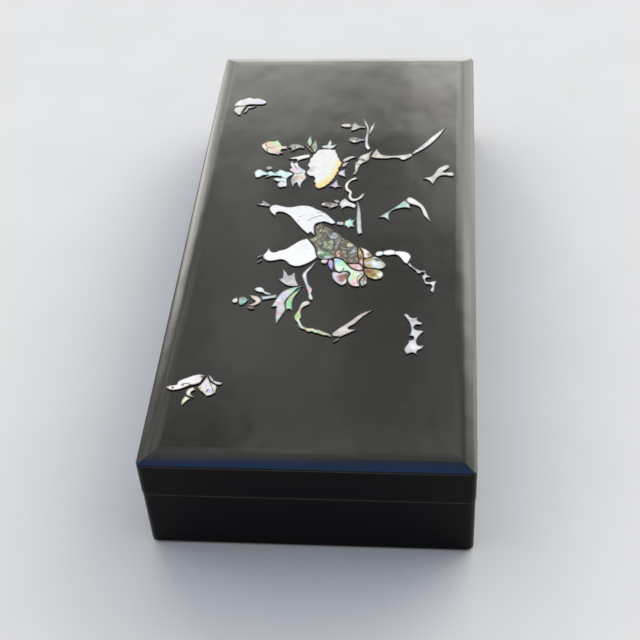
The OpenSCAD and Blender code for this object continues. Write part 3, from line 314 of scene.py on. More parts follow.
def make_shell(
    name, ground, spots=(), bands=(), lines=(), rings=(),
    # edge is the tone of the rim round the face, partly painted shade
    play=0.10, feather=None, chips=0.0, life=0.5, edge=(60, 54, 50),
):
    """Shell with a ground colour and spots (x, y, radius, colour) where another colour shines.

    Bands and engraved lines are arcs through three points, rings are circles. Play is the strength of
    the play of colour, and life that of light and shade.
    """
    look, g, skin = material(name)
    scale = 1 / DRAWING_SCALE
    shift = (-DRAWING_SHIFT[0] * scale, -DRAWING_SHIFT[1] * scale, 0)
    height = g.parts(g.place())["Z"]
    inputs = {0: g.place(), 1: (scale, scale, 1), 2: shift}
    p = g.node("VectorMath", inputs, operation="MULTIPLY_ADD").outputs[0]
    push = g.vector("SUBTRACT", g.noise(p, scale=0.28, output="Color"), (0.5, 0.5, 0.5))
    q = g.vector("ADD", g.stretched(push, (2.4, 2.4, 0)), p)
    colour = srgb(*ground)
    for x, y, r, tone in spots:
        colour = g.mix(g.fade(g.distance(q, x, y), 1.2 * r, 0.15 * r), colour, srgb(*tone))
    for a, b, c, width, tone in bands:
        colour = g.mix(along(g, q, a, b, c, width, core=0.15, end=1.5), colour, srgb(*tone))
    cuts = []
    if chips:
        colour, seams = chipped(g, q, colour, chips)
        cuts.append(seams)
    # play of colour, and the fine layers of the shell
    glow = g.noise(g.stretched(q, (0.8, 1.2, 1)), scale=0.16, detail=3.0, rough=0.55, warp=1.2)
    colour = g.mix(play, colour, g.ramp(glow, PLAY_TONES), "SOFT_LIGHT")
    layers = g.noise(g.stretched(q, (0.5, 1.6, 1)), scale=0.9, detail=3.0, rough=0.6, warp=1.0)
    depth = g.fade(layers, 0.35, 0.75, 0.0, 0.1 + 0.7 * life)
    colour = g.mix(depth, colour, srgb(*LAYER_TONE), "MULTIPLY")
    # the parts that turn away from the light, and those that catch it
    shade = g.noise(g.flat(q), scale=0.24, detail=1.5, warp=0.6)
    colour = g.mix(g.fade(shade, 0.52, 0.66, 0.0, 0.38 * life), colour, srgb(*SHADED))
    colour = g.mix(g.fade(shade, 0.48, 0.36, 0.0, 0.75 * life), colour, srgb(*SHINING))
    # what is engraved, with the slight wander of a hand
    if feather is not None:
        cuts.append(feathered(g, q, feather))
    hand = g.vector("ADD", g.flat(push), p)
    for x, y, r, width in rings:
        cuts.append(g.fade(g.off(g.distance(hand, x, y), r), width, 0.4 * width, 0.0, LINE_STRENGTH))
    for a, b, c, width in lines:
        cuts.append(g.product(along(g, hand, a, b, c, width, core=0.4, end=0.3), LINE_STRENGTH))
    relief = g.bump(layers, depth_mm=0.02)
    if cuts:
        cut = cuts[0]
        for other in cuts[1:]:
            cut = g.math("MAXIMUM", cut, other)
        colour = g.mix(cut, colour, srgb(*ENGRAVED))
        relief = g.bump(g.math("SUBTRACT", 1.0, cut), depth_mm=0.06, below=relief)
    # a dark rim round the face, partly lacquer creeping over it and partly painted shade; the sides below
    # the face are painted dark, a painted shade
    rim = g.node("AmbientOcclusion", {"Distance": 0.9 / MM}, inside=True, only_local=True, samples=12)
    colour = g.mix(g.fade(rim.outputs["AO"], 0.9, 0.58, 0.0, 0.62), colour, srgb(*edge))
    colour = g.mix(g.fade(height, SHELL_TOP - 0.05, SHELL_TOP - 0.17), colour, srgb(*SIDE_SHADE))
    g.feed(skin.inputs["Base Color"], colour)
    g.feed(skin.inputs["Roughness"], g.fade(layers, 0.3, 0.7, 0.2, 0.34))
    g.feed(skin.inputs["Normal"], relief)
    skin.inputs["IOR"].default_value = 1.53
    skin.inputs["Specular IOR Level"].default_value = 0.35
    skin.inputs["Coat Weight"].default_value = 0.08
    skin.inputs["Coat Roughness"].default_value = 0.12
    return look


def piece(name, ground, **looks):
    return name, ground, looks


# Every piece of shell by node: its name, ground colour and looks. The pieces of a node stand in the order
# in which they begin, from the near end of the box (-X) on.
SHELL = {
    "inlay_peacock": [
        piece(
            "peacock_body", (250, 250, 246), life=0.05, play=0.04, feather=115,
            spots=[(-13, 12, 4, (238, 239, 238))],
        ),
        piece("peacock_crest_left", (150, 128, 118)),
        piece("peacock_crest_right", (166, 146, 136)),
    ],
    "inlay_peacock_train": [
        piece(
            "train_green_plume", (214, 244, 212), life=0.3, play=0.15,
            spots=[
                (-25.6, -6.9, 3.6, (166, 240, 176)), (-24, -4.9, 2.4, (184, 212, 246)),
                (-29, -5.6, 2.4, (240, 250, 240)), (-34.1, -13.5, 3, (220, 248, 208)),
                (-36.1, -14.7, 2, (244, 230, 176)), (-39.4, -14, 2.8, (252, 192, 210)),
                (-31.6, -16.8, 1.8, (234, 158, 216)),
            ],
            lines=[
                ((-31.9, -5.8), (-30.9, -7.4), (-28.9, -8), 0.4),
                ((-40.6, -16), (-37.4, -14.9), (-33, -17.2), 0.35),
            ],
        ),
        piece(
            "train_grey_strip", (176, 184, 168), life=0.3, edge=(96, 72, 40),
            spots=[
                (-34.8, -17.6, 1.9, (96, 70, 36)), (-37.4, -16.3, 1.7, (130, 98, 62)),
                (-38.6, -18.9, 1.4, (222, 236, 228)), (-37, -20, 1.9, (140, 96, 50)),
            ],
            lines=[((-40.8, -18.3), (-38, -18.1), (-35, -18.8), 0.35)],
        ),
        piece(
            "train_lilac_plume", (214, 206, 222), life=0.25, edge=(128, 92, 56),
            spots=[
                (-33.2, -5.2, 1.8, (240, 236, 246)), (-35.6, -6.8, 1.6, (222, 150, 196)),
                (-35.2, -8.2, 2.9, (146, 88, 48)), (-34, -9.8, 2.4, (112, 80, 38)),
                (-38.9, -9.2, 2.2, (250, 246, 232)), (-37.6, -7.6, 1.8, (150, 104, 70)),
            ],
        ),
        piece(
            "train_amber_plume", (184, 172, 108), life=0.25, edge=(112, 92, 44),
            spots=[
                (-31, -20.2, 3.6, (140, 76, 22)), (-34, -22.6, 2.5, (134, 108, 38)),
                (-36.2, -23.2, 1.5, (234, 240, 204)), (-33.4, -26.2, 2.4, (250, 250, 242)),
                (-31.4, -24, 1.4, (176, 170, 110)),
            ],
        ),
        piece(
            "train_violet_tip", (182, 166, 236), life=0.3,
            spots=[(-23.6, -1.2, 2.2, (236, 182, 222)), (-30, -2.4, 1.5, (196, 194, 244))],
        ),
        piece(
            "train_rose_leaf", (226, 172, 170), life=0.3,
            spots=[(-29.3, -15.6, 1.8, (248, 224, 210))],
        ),
        piece(
            "train_white_plume", (208, 222, 214), life=0.2, edge=(124, 108, 60),
            spots=[
                (-22.2, -18.9, 3.2, (182, 140, 48)), (-27.4, -19.6, 2.3, (176, 156, 82)),
                (-25.4, -22.8, 1.8, (250, 251, 252)), (-22.8, -23.6, 1.9, (96, 98, 68)),
                (-26.2, -27.4, 1.9, (196, 162, 86)),
            ],
            lines=[((-22, -20.8), (-23.2, -24.2), (-25.2, -27.2), 0.55)],
        ),
        piece(
            "train_brown_strip", (148, 110, 46), life=0.3, edge=(84, 56, 26),
            spots=[
                (-25.2, -16.1, 2.4, (240, 190, 200)), (-21.8, -15.5, 1.2, (120, 72, 26)),
                (-18.2, -15.2, 1.4, (222, 184, 110)),
            ],
        ),
        piece(
            "train_pink_tip", (246, 240, 230), life=0.3,
            spots=[(-24.4, 0.2, 1.6, (236, 170, 188))],
        ),
        piece(
            "train_fan", (130, 125, 112), life=0.3, play=0.2, chips=0.5,
            spots=[
                (-3, 6.1, 3.4, (172, 186, 124)), (-8, 7.6, 2.6, (192, 204, 140)),
                (0.4, 2.2, 2.4, (150, 120, 108)), (-5.4, -1.4, 3, (146, 172, 196)),
                (-12.3, 0.6, 3.6, (166, 194, 148)), (-12.8, 0.6, 1.5, (92, 60, 46)),
                (-11.3, -8.2, 3, (116, 90, 70)), (-12.4, -10.4, 2.2, (248, 238, 212)),
                (-19, -5.6, 3.8, (190, 158, 136)), (-20.2, -4, 2, (226, 184, 172)),
                (-16.2, -12.2, 2.4, (204, 212, 220)), (-19.2, 2, 3.8, (172, 212, 178)),
                (-22.4, 0.6, 2.2, (176, 206, 222)), (-17.2, 4.6, 1.6, (228, 230, 218)),
                (-25.2, -12.4, 2.6, (140, 88, 44)), (-23.4, -11, 1.5, (238, 222, 198)),
                (-15.4, -3.4, 1.9, (80, 70, 60)),
            ],
            lines=[
                ((-11, -5.2), (-8.3, -8.6), (-12.1, -12.5), 0.75),
                ((-11, -5.2), (-14.5, -9.3), (-12.1, -12.5), 0.75),
                ((-11, -6.8), (-9.8, -8.6), (-11.6, -10.8), 0.5),
                ((-11.9, 3.4), (-8, 1.2), (-12.7, -2.3), 0.68),
                ((-11.9, 3.4), (-17.2, 0.6), (-12.7, -2.3), 0.75),
                ((-18.6, -3.2), (-22.7, -6.8), (-19.4, -9.3), 0.6),
                ((-18.6, -3.2), (-15.6, -5.7), (-19.4, -9.3), 0.75),
                ((-6.4, 7.6), (-3.4, 6), (2, 5.6), 0.6), ((-5.8, 6.2), (-2.6, 4.4), (2.4, 3.8), 0.6),
                ((-8.8, 6.4), (-6.6, 4), (-2.6, 2.6), 0.6), ((-13.5, 4), (-16.8, 0.7), (-19.3, -2), 0.75),
                ((-25.4, -9.6), (-21, -9.8), (-18, -13.6), 0.6),
            ],
            rings=[(-5.4, -1.4, 2.9, 0.68), (-24.6, -12, 2.1, 0.6)],
        ),
        piece(
            "train_gold_tip", (248, 242, 222), life=0.2, edge=(124, 92, 48),
            spots=[
                (-17.2, -15.8, 1.8, (142, 90, 30)), (-19, -19.8, 2, (128, 90, 48)),
                (-16, -17.9, 1.4, (252, 251, 244)),
            ],
        ),
    ],
    "inlay_trailing_plume": [
        piece(
            "plume_stem", (222, 222, 220), life=0.3,
            spots=[
                (-26.4, -40.6, 2, (250, 250, 248)), (-30.3, -43.8, 1.3, (186, 185, 182)),
                (-31.9, -46, 1.1, (120, 116, 110)), (-36.1, -48.2, 1.2, (112, 108, 102)),
                (-38.5, -50.4, 1.4, (240, 240, 238)), (-40.4, -49.3, 0.9, (124, 120, 114)),
                (-43, -50.8, 1.4, (246, 246, 244)),
            ],
        ),
        piece(
            "plume_strip", (250, 251, 249), life=0.1, play=0.05,
            lines=[
                ((-20, -25.6), (-18.2, -26.4), (-16.6, -26.2), 0.3),
                ((-19.4, -32.2), (-17.8, -32), (-16.2, -32.2), 0.3),
            ],
        ),
    ],
    "inlay_peahen": [
        piece(
            "peahen_body", (242, 242, 240), life=0.08, play=0.04, feather=70,
            spots=[(9.2, 3, 2.2, (222, 226, 232))],
            lines=[
                ((6, 11.6), (8.6, 8.8), (9.9, 4.7), 0.3), ((12.6, 7.9), (12.3, 6), (12.1, 4.3), 0.3),
                ((8.5, 16.8), (9.4, 15.4), (9.8, 13.8), 0.22),
            ],
        ),
        piece(
            "peahen_foot", (178, 236, 222), life=0.3,
            spots=[
                (4.2, -7, 2, (232, 242, 164)), (1, -8.4, 1.4, (220, 188, 130)),
                (4.5, -10.6, 1.8, (146, 226, 234)),
            ],
        ),
        piece("peahen_leg", (196, 188, 214)),
        piece(
            "peahen_crest", (142, 164, 160),
            spots=[(18.4, 33, 1.8, (166, 152, 146)), (18.6, 37.2, 1.4, (184, 206, 198))],
        ),
    ],
    "inlay_ground": [
        piece(
            "ground_bar", (197, 203, 206), life=0.3,
            spots=[
                (0, -14.3, 2.6, (226, 232, 232)), (9.7, -13.7, 2.4, (190, 200, 212)),
                (19, -12.6, 2.6, (196, 206, 214)),
            ],
        ),
        piece(
            "cloud_arch", (250, 247, 228), life=0.3,
            spots=[
                (24, -9, 2.2, (251, 251, 244)), (38, -7.5, 2, (240, 232, 204)),
                (26, -13.6, 1.6, (204, 200, 180)),
            ],
        ),
    ],
    "inlay_seedling": [
        piece(
            "seedling_bud", (156, 142, 136), life=0.4,
            spots=[
                (19.2, 5.3, 1.4, (232, 228, 218)), (19.5, 2.6, 1.4, (104, 86, 80)),
                (17.1, 0.9, 1.3, (196, 214, 196)), (15.6, 2.6, 1.2, (118, 102, 94)),
            ],
            lines=[
                ((16.8, 3.4), (18.6, 4.2), (20.4, 3.6), 0.4), ((16, 1.2), (18, 1.6), (20.4, 0.9), 0.4),
            ],
        ),
        piece(
            "seedling_leaf", (226, 225, 224), life=0.3,
            spots=[
                (19.6, -5.8, 1.6, (248, 248, 246)), (22, -4.4, 1.4, (228, 212, 216)),
                (17.6, -10.2, 1.8, (246, 244, 240)),
            ],
        ),
        piece("seedling_side", (200, 182, 178)),
    ],
    "inlay_flower_spray": [
        piece("spray_side", (122, 100, 66)),
        piece(
            "spray_cup", (230, 218, 198), life=0.3,
            spots=[(-55, 31.2, 1.5, (238, 202, 196)), (-50, 33.2, 1.2, (220, 196, 156))],
        ),
        piece(
            "spray_petal", (140, 188, 176), life=0.4,
            spots=[(-50.4, 38.2, 1.7, (150, 108, 76)), (-53.8, 36.2, 1.3, (184, 222, 212))],
        ),
        piece("spray_tip", (246, 224, 208), life=0.3),
        piece("spray_stem", (186, 200, 206), life=0.3),
        piece(
            "spray_bud", (234, 244, 242), life=0.3,
            spots=[(-47.6, 25.6, 1.4, (162, 200, 198))],
        ),
    ],
    "inlay_left_leaves": [
        piece(
            "leaf_upper", (212, 212, 214), life=0.3, play=0.15,
            spots=[
                (-42.8, 11.4, 2.2, (140, 228, 186)), (-44.6, 14.6, 2.2, (172, 234, 200)),
                (-46.4, 16.5, 1.5, (222, 236, 190)), (-48.9, 18.4, 2.2, (206, 204, 234)),
                (-51.6, 20.6, 2, (242, 242, 248)), (-55.5, 22.8, 1.5, (190, 234, 222)),
                (-54.4, 19.6, 1.9, (240, 192, 196)), (-61, 20.5, 2.2, (226, 170, 190)),
                (-61.4, 18.4, 1.3, (176, 170, 172)), (-65.6, 20.4, 2.4, (206, 222, 210)),
            ],
        ),
        piece(
            "leaf_lower", (164, 226, 172), life=0.3, play=0.15,
            spots=[
                (-57.4, 17, 1.8, (196, 232, 198)), (-55.4, 15, 1.7, (150, 224, 168)),
                (-50.2, 14.2, 1.5, (192, 180, 128)), (-47.4, 13.4, 1.5, (226, 214, 150)),
                (-45, 12.2, 1.3, (128, 196, 176)),
            ],
        ),
        piece(
            "three_point_leaf", (194, 190, 194), life=0.3,
            spots=[
                (-38.8, 20.4, 1.9, (196, 220, 220)), (-40.4, 13.6, 2.2, (232, 204, 194)),
                (-32.4, 20.2, 1.9, (220, 214, 222)), (-34, 15.8, 1.8, (182, 172, 182)),
            ],
        ),
    ],
    "inlay_left_branches": [
        piece("branch_spur", (132, 126, 122)),
        piece(
            "branch_left", (214, 224, 196), life=0.3, play=0.15,
            spots=[
                (-53.4, 7.1, 1.8, (246, 200, 190)), (-54.4, 9.2, 1.4, (232, 230, 242)),
                (-58.5, 10.8, 2, (244, 208, 172)), (-62.4, 11, 2.4, (172, 222, 108)),
                (-66.4, 10, 1.7, (214, 236, 222)), (-69.4, 8.2, 1.7, (206, 224, 204)),
                (-71.1, 5.4, 1.7, (240, 226, 168)), (-71.4, 2.7, 1.5, (236, 240, 226)),
                (-72.6, 0.4, 1.5, (166, 228, 142)), (-73.8, -2, 1.5, (246, 216, 198)),
                (-75, -5.2, 1.6, (238, 224, 186)),
            ],
        ),
        piece(
            "branch_thorn", (216, 203, 194), life=0.3,
            spots=[
                (-71.4, -10.4, 2.6, (240, 230, 218)), (-64.1, -16.2, 2.2, (222, 194, 184)),
                (-71.3, -14.8, 1.8, (230, 222, 220)), (-59, -21.6, 2, (204, 208, 176)),
            ],
        ),
        piece(
            "branch_bird", (222, 224, 230), life=0.3,
            spots=[
                (-28, 7.4, 2.2, (226, 230, 228)), (-34.4, 10, 2, (244, 244, 248)),
                (-40.5, 8.9, 1.9, (204, 222, 222)), (-44.6, 6.9, 2, (246, 192, 202)),
                (-50, 6, 1.9, (244, 246, 234)),
            ],
        ),
    ],
    "inlay_peony": [
        piece(
            "peony_bloom", (238, 237, 230), life=0.06, play=0.04, feather=100,
            spots=[
                (47, 14, 2.2, (186, 189, 188)), (49.6, 12.6, 1.7, (208, 210, 208)),
                (61, 4, 3, (236, 237, 234)),
            ],
            bands=[((55, -1.8), (42.6, 1), (32.4, 8.8), 4.2, (248, 224, 144))],
        ),
        piece(
            "peony_tail", (214, 226, 224), life=0.3,
            spots=[(71.2, 5.5, 1.6, (248, 244, 238)), (67.2, 7.2, 1.5, (194, 220, 222))],
        ),
    ],
    "inlay_peony_leaves": [
        piece(
            "peony_pink_leaf", (222, 218, 220), life=0.2, play=0.12,
            spots=[
                (51.5, 24.1, 2.4, (248, 230, 234)), (51.8, 21.3, 1.8, (250, 249, 247)),
                (47.6, 23, 2, (240, 200, 216)), (47, 18.9, 2.2, (214, 212, 236)),
                (38.6, 22, 2.6, (172, 164, 162)), (41.2, 20.6, 2, (194, 168, 150)),
                (40.6, 18, 2.2, (228, 200, 156)), (35.2, 22.4, 2, (162, 170, 168)),
                (33.8, 18.8, 1.8, (206, 238, 236)),
            ],
            lines=[
                ((45.6, 23.6), (43.7, 21), (44.6, 18.4), 0.4),
                ((52.8, 23.2), (50.2, 22.2), (47.2, 20.6), 0.32),
            ],
        ),
        piece(
            "peony_violet_leaf", (220, 190, 226), life=0.3,
            spots=[(32.4, 0.4, 1, (166, 160, 164))],
        ),
        piece("peony_lilac_leaf", (222, 222, 230), life=0.3),
        piece("peony_grey_leaf", (192, 186, 178), life=0.4),
        piece(
            "peony_dusk_leaf", (216, 206, 198), life=0.3,
            spots=[(57.9, -6.8, 1.2, (240, 236, 228))],
        ),
        piece("peony_blade", (248, 247, 240), life=0.2),
    ],
    "inlay_green_leaves": [
        piece(
            "green_leaf_low", (136, 148, 112), life=0.3,
            spots=[(63, 13.2, 1.4, (172, 178, 142)), (71.6, 13.3, 1.6, (166, 134, 122))],
        ),
        piece("green_leaf_top", (126, 116, 92), spots=[(68.4, 18.6, 1.2, (152, 116, 114))]),
        piece(
            "green_leaf_middle", (164, 206, 164), life=0.3,
            spots=[(68, 16.4, 1.6, (222, 160, 176)), (75.4, 16.4, 1.4, (190, 202, 186))],
        ),
    ],
    "inlay_bush": [
        piece(
            "bush", (214, 240, 236), life=0.2, play=0.08,
            spots=[
                (34.4, 28.2, 3, (232, 214, 236)), (44, 41.4, 2, (226, 246, 242)),
                (43.5, 33, 2.2, (196, 234, 232)), (39.2, 29.8, 1.8, (234, 238, 242)),
            ],
            lines=[
                ((46, 38), (43.9, 36.1), (41, 34.7), 0.4),
                ((46.6, 34.2), (44.6, 32.8), (43.6, 30.8), 0.4),
                ((36.2, 29.8), (37.4, 28.3), (36, 26.8), 0.4),
                ((39.4, 29), (40.2, 27.8), (39.2, 26.1), 0.4),
            ],
        ),
        piece("bush_bud", (166, 170, 164)),
    ],
    "inlay_bud": [
        piece(
            "bud_head", (222, 210, 180), life=0.2, play=0.12,
            spots=[
                (67, 41, 2.4, (250, 242, 206)), (68.7, 37.1, 1.7, (244, 196, 180)),
                (64.2, 35.2, 2.2, (244, 186, 196)), (61.2, 31.4, 2.2, (218, 146, 206)),
                (70, 34.2, 2.2, (166, 240, 150)), (69.2, 32.4, 1.6, (190, 242, 180)),
                (66.2, 31.6, 1.6, (226, 236, 176)), (66.4, 29.3, 1.5, (246, 186, 196)),
                (62.3, 36.5, 1.4, (222, 234, 160)),
            ],
            lines=[
                ((69.6, 39.2), (66.4, 38.2), (65.7, 35.4), 0.42),
                ((62.8, 37.6), (64, 38.5), (65.3, 38.4), 0.4),
            ],
        ),
        piece(
            "bud_leaf", (122, 120, 114), life=0.4,
            spots=[(67.6, 25, 1.4, (168, 166, 160))],
        ),
    ],
    "inlay_right_branch": [
        piece(
            "branch_right", (204, 202, 184), life=0.2,
            spots=[
                (45.6, -9.2, 2.2, (186, 206, 164)), (50.2, -9.6, 1.5, (220, 228, 196)),
                (53.4, -11.4, 1.2, (230, 234, 208)), (55.6, -12.6, 1.2, (86, 78, 64)),
                (59.2, -13.4, 1.8, (242, 238, 220)), (61.4, -15.6, 1.5, (178, 174, 158)),
            ],
            lines=[
                ((54.6, -10.2), (56.2, -12.2), (55, -13.8), 0.6),
                ((51.2, -9), (51.9, -10.4), (51, -11.8), 0.5),
            ],
        ),
        piece(
            "root_upper", (204, 202, 188), life=0.3,
            spots=[
                (60.4, -18.7, 1.6, (214, 168, 160)), (62.8, -19.2, 1.4, (190, 206, 160)),
                (58.8, -21, 1.5, (240, 230, 196)), (58, -26.6, 2, (204, 196, 178)),
                (57.4, -33.6, 2.2, (246, 245, 240)), (60, -38.4, 2, (226, 222, 218)),
            ],
        ),
        piece(
            "root_blade", (230, 227, 222), life=0.3,
            spots=[
                (64, -42, 1.5, (206, 200, 204)), (67.5, -44, 1.9, (204, 194, 224)),
                (74.4, -49, 2.2, (250, 250, 248)), (82, -54.6, 1.8, (226, 222, 218)),
            ],
        ),
    ],
    "inlay_right_twig": [
        piece(
            "twig_upper", (230, 224, 236), life=0.2,
            spots=[(66.4, -14.8, 2, (250, 250, 244)), (90.4, -12, 2.2, (214, 206, 182))],
        ),
        piece(
            "twig_bud", (146, 144, 136), life=0.3,
            spots=[(71.8, -7.2, 1.3, (244, 244, 238)), (74.2, -9.5, 1.2, (90, 86, 76))],
            lines=[((73.4, -5.9), (73.7, -7.7), (72.4, -9.4), 0.4)],
        ),
        piece("twig_lower", (224, 218, 196), life=0.2),
        piece(
            "twig_flower", (152, 162, 148), life=0.3,
            spots=[
                (82.6, -5.9, 1.4, (204, 212, 200)), (84.6, -9.6, 1.4, (192, 164, 150)),
                (86.6, -7, 1.4, (134, 160, 132)),
            ],
        ),
        piece("twig_flower_tip", (222, 212, 190), life=0.3),
    ],
    "inlay_rocks": [
        piece(
            "rock_left", (214, 218, 218), life=0.35,
            spots=[
                (-60.8, -38.8, 1.8, (226, 230, 230)), (-64.2, -41.8, 1.8, (186, 188, 190)),
                (-81.2, -42.2, 2.8, (246, 247, 246)), (-83.4, -40.9, 1.4, (240, 214, 212)),
                (-80.9, -46.3, 1.5, (220, 222, 226)),
            ],
            rings=[(-68.7, -44.1, 1.1, 0.35), (-75.6, -41.4, 1.1, 0.35), (-78.5, -45.2, 1, 0.35)],
        ),
        piece(
            "rock_middle_low", (236, 233, 222), life=0.25,
            spots=[
                (22.4, -38.8, 2, (252, 252, 250)), (24.4, -37, 1.2, (198, 174, 146)),
                (7.9, -47.6, 1.8, (228, 204, 202)),
            ],
        ),
        piece(
            "rock_middle_top", (204, 228, 216), life=0.4,
            spots=[
                (9.9, -25.4, 2, (206, 234, 222)), (15.1, -29.1, 1.8, (236, 248, 242)),
                (18.4, -34.3, 1.8, (170, 224, 216)), (22.4, -35.8, 1.8, (168, 126, 88)),
            ],
        ),
        piece(
            "rock_right", (212, 209, 200), life=0.35,
            spots=[
                (38.8, -46.9, 2.2, (246, 244, 240)), (41.4, -50.2, 1.8, (186, 184, 178)),
                (49.2, -55, 2.2, (232, 226, 212)), (44.2, -57.8, 1.8, (240, 230, 214)),
            ],
        ),
    ],
    "inlay_left_butterfly": [
        piece("flutter_feeler", (244, 248, 210), life=0.2),
        piece("flutter_arm", (250, 242, 222), life=0.2),
        piece(
            "flutter_low_wing", (238, 232, 222), life=0.15,
            spots=[
                (-109.4, 50, 1.2, (206, 148, 84)), (-111, 48.6, 1.2, (140, 96, 56)),
                (-106.8, 47.3, 1.7, (242, 222, 240)), (-110.4, 45.3, 1.6, (206, 196, 236)),
                (-110.9, 43.4, 1.4, (170, 182, 160)), (-108.2, 43.7, 1.1, (246, 240, 240)),
            ],
            lines=[
                ((-105, 46.2), (-107.6, 44.8), (-110.2, 43.8), 0.34),
                ((-109.2, 46.1), (-110.3, 46.3), (-111.3, 46.7), 0.4),
            ],
        ),
        piece(
            "flutter_wing", (252, 247, 242), life=0.15,
            spots=[
                (-108.9, 64.3, 1.7, (250, 206, 206)), (-109, 62, 0.8, (70, 58, 52)),
                (-107.6, 55.2, 1.4, (250, 214, 226)), (-102.6, 51.4, 1.7, (250, 222, 236)),
                (-106.3, 51.6, 1.5, (226, 232, 184)), (-102.2, 49.7, 1.3, (88, 66, 62)),
                (-107, 57.6, 0.9, (96, 74, 76)), (-107.2, 53.8, 1, (104, 84, 74)),
            ],
            lines=[((-107, 57.8), (-106.4, 56.2), (-107.2, 53.8), 0.4)],
        ),
        piece("flutter_tail", (246, 246, 244), life=0.2),
    ],
    "inlay_right_butterfly": [
        piece(
            "glider_cream", (224, 220, 202), life=0.3,
            spots=[(102.6, 57.6, 1.5, (200, 198, 194))],
        ),
        piece("glider_feeler", (196, 194, 192)),
        piece(
            "glider_blue", (222, 219, 220), life=0.15,
            spots=[
                (106.5, 58.4, 2, (246, 245, 240)), (105.6, 57.1, 1, (222, 208, 186)),
                (110.6, 53, 1.6, (250, 250, 250)), (109.9, 48.1, 1.5, (244, 220, 222)),
                (106.9, 46.9, 1.9, (206, 220, 240)), (107.8, 44.4, 1.2, (250, 248, 246)),
            ],
        ),
    ],
}


def piece_numbers(mesh):
    """The number of each polygon's closed piece, counted in the order in which the pieces begin along X."""
    co = np.zeros(len(mesh.vertices) * 3)
    mesh.vertices.foreach_get("co", co)
    # equal points get one number, and the numbers grow with x
    _, same = np.unique(np.round(co.reshape(-1, 3) * MM, 3), axis=0, return_inverse=True)
    same = same.reshape(-1)
    lead = np.arange(same.max() + 1)

    def first_point(i):
        while lead[i] != i:
            lead[i] = lead[lead[i]]
            i = lead[i]
        return i

    for face in mesh.polygons:
        corners = [same[v] for v in face.vertices]
        for corner in corners[1:]:
            a, b = first_point(corners[0]), first_point(corner)
            lead[max(a, b)] = min(a, b)
    owner = [first_point(same[face.vertices[0]]) for face in mesh.polygons]
    return np.unique(owner, return_inverse=True)[1].reshape(-1)


for node_name, pieces in SHELL.items():
    mesh = nodes[node_name].data
    mesh.materials.clear()
    for name, ground, looks in pieces:
        mesh.materials.append(make_shell(name, ground, **looks))
    mesh.polygons.foreach_set("material_index", piece_numbers(mesh).astype(np.int32))


# Brass hinges, steel pins and slotted screws
BRASS, WORN_BRASS = (222, 184, 104), (168, 122, 62)
SCREW_BRASS, WORN_SCREW = (226, 190, 112), (150, 108, 56)
STEEL, WORN_STEEL = (206, 206, 210), (150, 148, 146)
SLOT_SHADE = (40, 30, 18)
screws_low, screws_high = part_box("base_hinge_screws")
SCREW_ROW = MM * (screws_low[1] + screws_high[1]) / 2
SLOT_HALF = 0.24  # half the width of a slot at its brim, and at its floor
SLOT_FLOOR_HALF = 0.16


def make_metal(name, colour, worn, rough, slots=False):
    look, g, skin = material(name)
    p = g.place()
    brushed = g.noise(g.stretched(p, (0.15, 3, 3)), scale=1.2, detail=3.0, rough=0.6)
    tarnish = g.noise(p, scale=0.35, detail=4.0, rough=0.6)
    tone = g.mix(g.fade(tarnish, 0.45, 0.7, 0.0, 0.7), srgb(*colour), srgb(*worn))
    relief = g.bump(brushed, depth_mm=0.004)
    if slots:
        # the slots are painted dark, a painted shade in their recess
        slot = g.fade(g.off(g.parts(p)["Y"], SCREW_ROW), SLOT_HALF, SLOT_FLOOR_HALF)
        tone = g.mix(slot, tone, srgb(*SLOT_SHADE))
        relief = g.bump(g.math("SUBTRACT", 1.0, slot), depth_mm=0.15, below=relief)
    g.feed(skin.inputs["Base Color"], tone)
    skin.inputs["Metallic"].default_value = 1.0
    g.feed(skin.inputs["Roughness"], g.fade(brushed, 0.3, 0.7, rough, rough + 0.14))
    g.feed(skin.inputs["Normal"], relief)
    return look


leaves = [name for name in nodes if name.endswith("_leaf") and "hinge" in name]
screws = ["base_hinge_screws", "lid_hinge_screws"]
pins = ["left_hinge_pin", "right_hinge_pin"]
dress(leaves, make_metal("brass", BRASS, WORN_BRASS, rough=0.2))
dress(screws, make_metal("brass_screw", SCREW_BRASS, WORN_SCREW, rough=0.2, slots=True))
dress(pins, make_metal("pin_steel", STEEL, WORN_STEEL, rough=0.22))


# Velvet boards inside the box, and felt under it
def make_cloth(name, dark, light, sheen, pile):
    look, g, skin = material(name)
    p = g.place()
    nap = g.noise(p, scale=0.03, detail=3.0, rough=0.55, warp=0.4)
    fibre = g.noise(p, scale=pile, detail=3.0, rough=0.7)
    tone = g.mix(g.fade(nap, 0.2, 0.8, 0.3, 0.8), srgb(*dark), srgb(*light))
    tone = g.mix(g.fade(fibre, 0.35, 0.7, 0.0, 0.5), tone, srgb(*dark))
    g.feed(skin.inputs["Base Color"], tone)
    g.feed(skin.inputs["Normal"], g.bump(fibre, depth_mm=0.12))
    skin.inputs["Roughness"].default_value = 0.95
    skin.inputs["Specular IOR Level"].default_value = 0.15
    skin.inputs["Sheen Weight"].default_value = sheen
    skin.inputs["Sheen Roughness"].default_value = 0.35
    skin.inputs["Sheen Tint"].default_value = srgb(*light)
    return look


velvet = make_cloth("wine_velvet", (88, 11, 25), (118, 18, 35), sheen=0.8, pile=2.6)
felt = make_cloth("black_felt", (26, 25, 26), (52, 50, 50), sheen=0.15, pile=1.6)

# Grid of a board's front in metres: close rows by its edges, and an even run between them
EDGE_ROWS = [0, 0.0003, 0.0007, 0.0013, 0.0022, 0.0036, 0.006]
RUN_FROM = 0.01
RUN_STEP = 0.008
NARROW = 0.024
NARROW_ROWS = 15
# Depth of the cloth's slow waves, how far from the edge they are full, and the room kept in front
WAVE_DEPTH = 0.00003
WAVE_FULL = 0.004
FRONT_ROOM = 0.00004


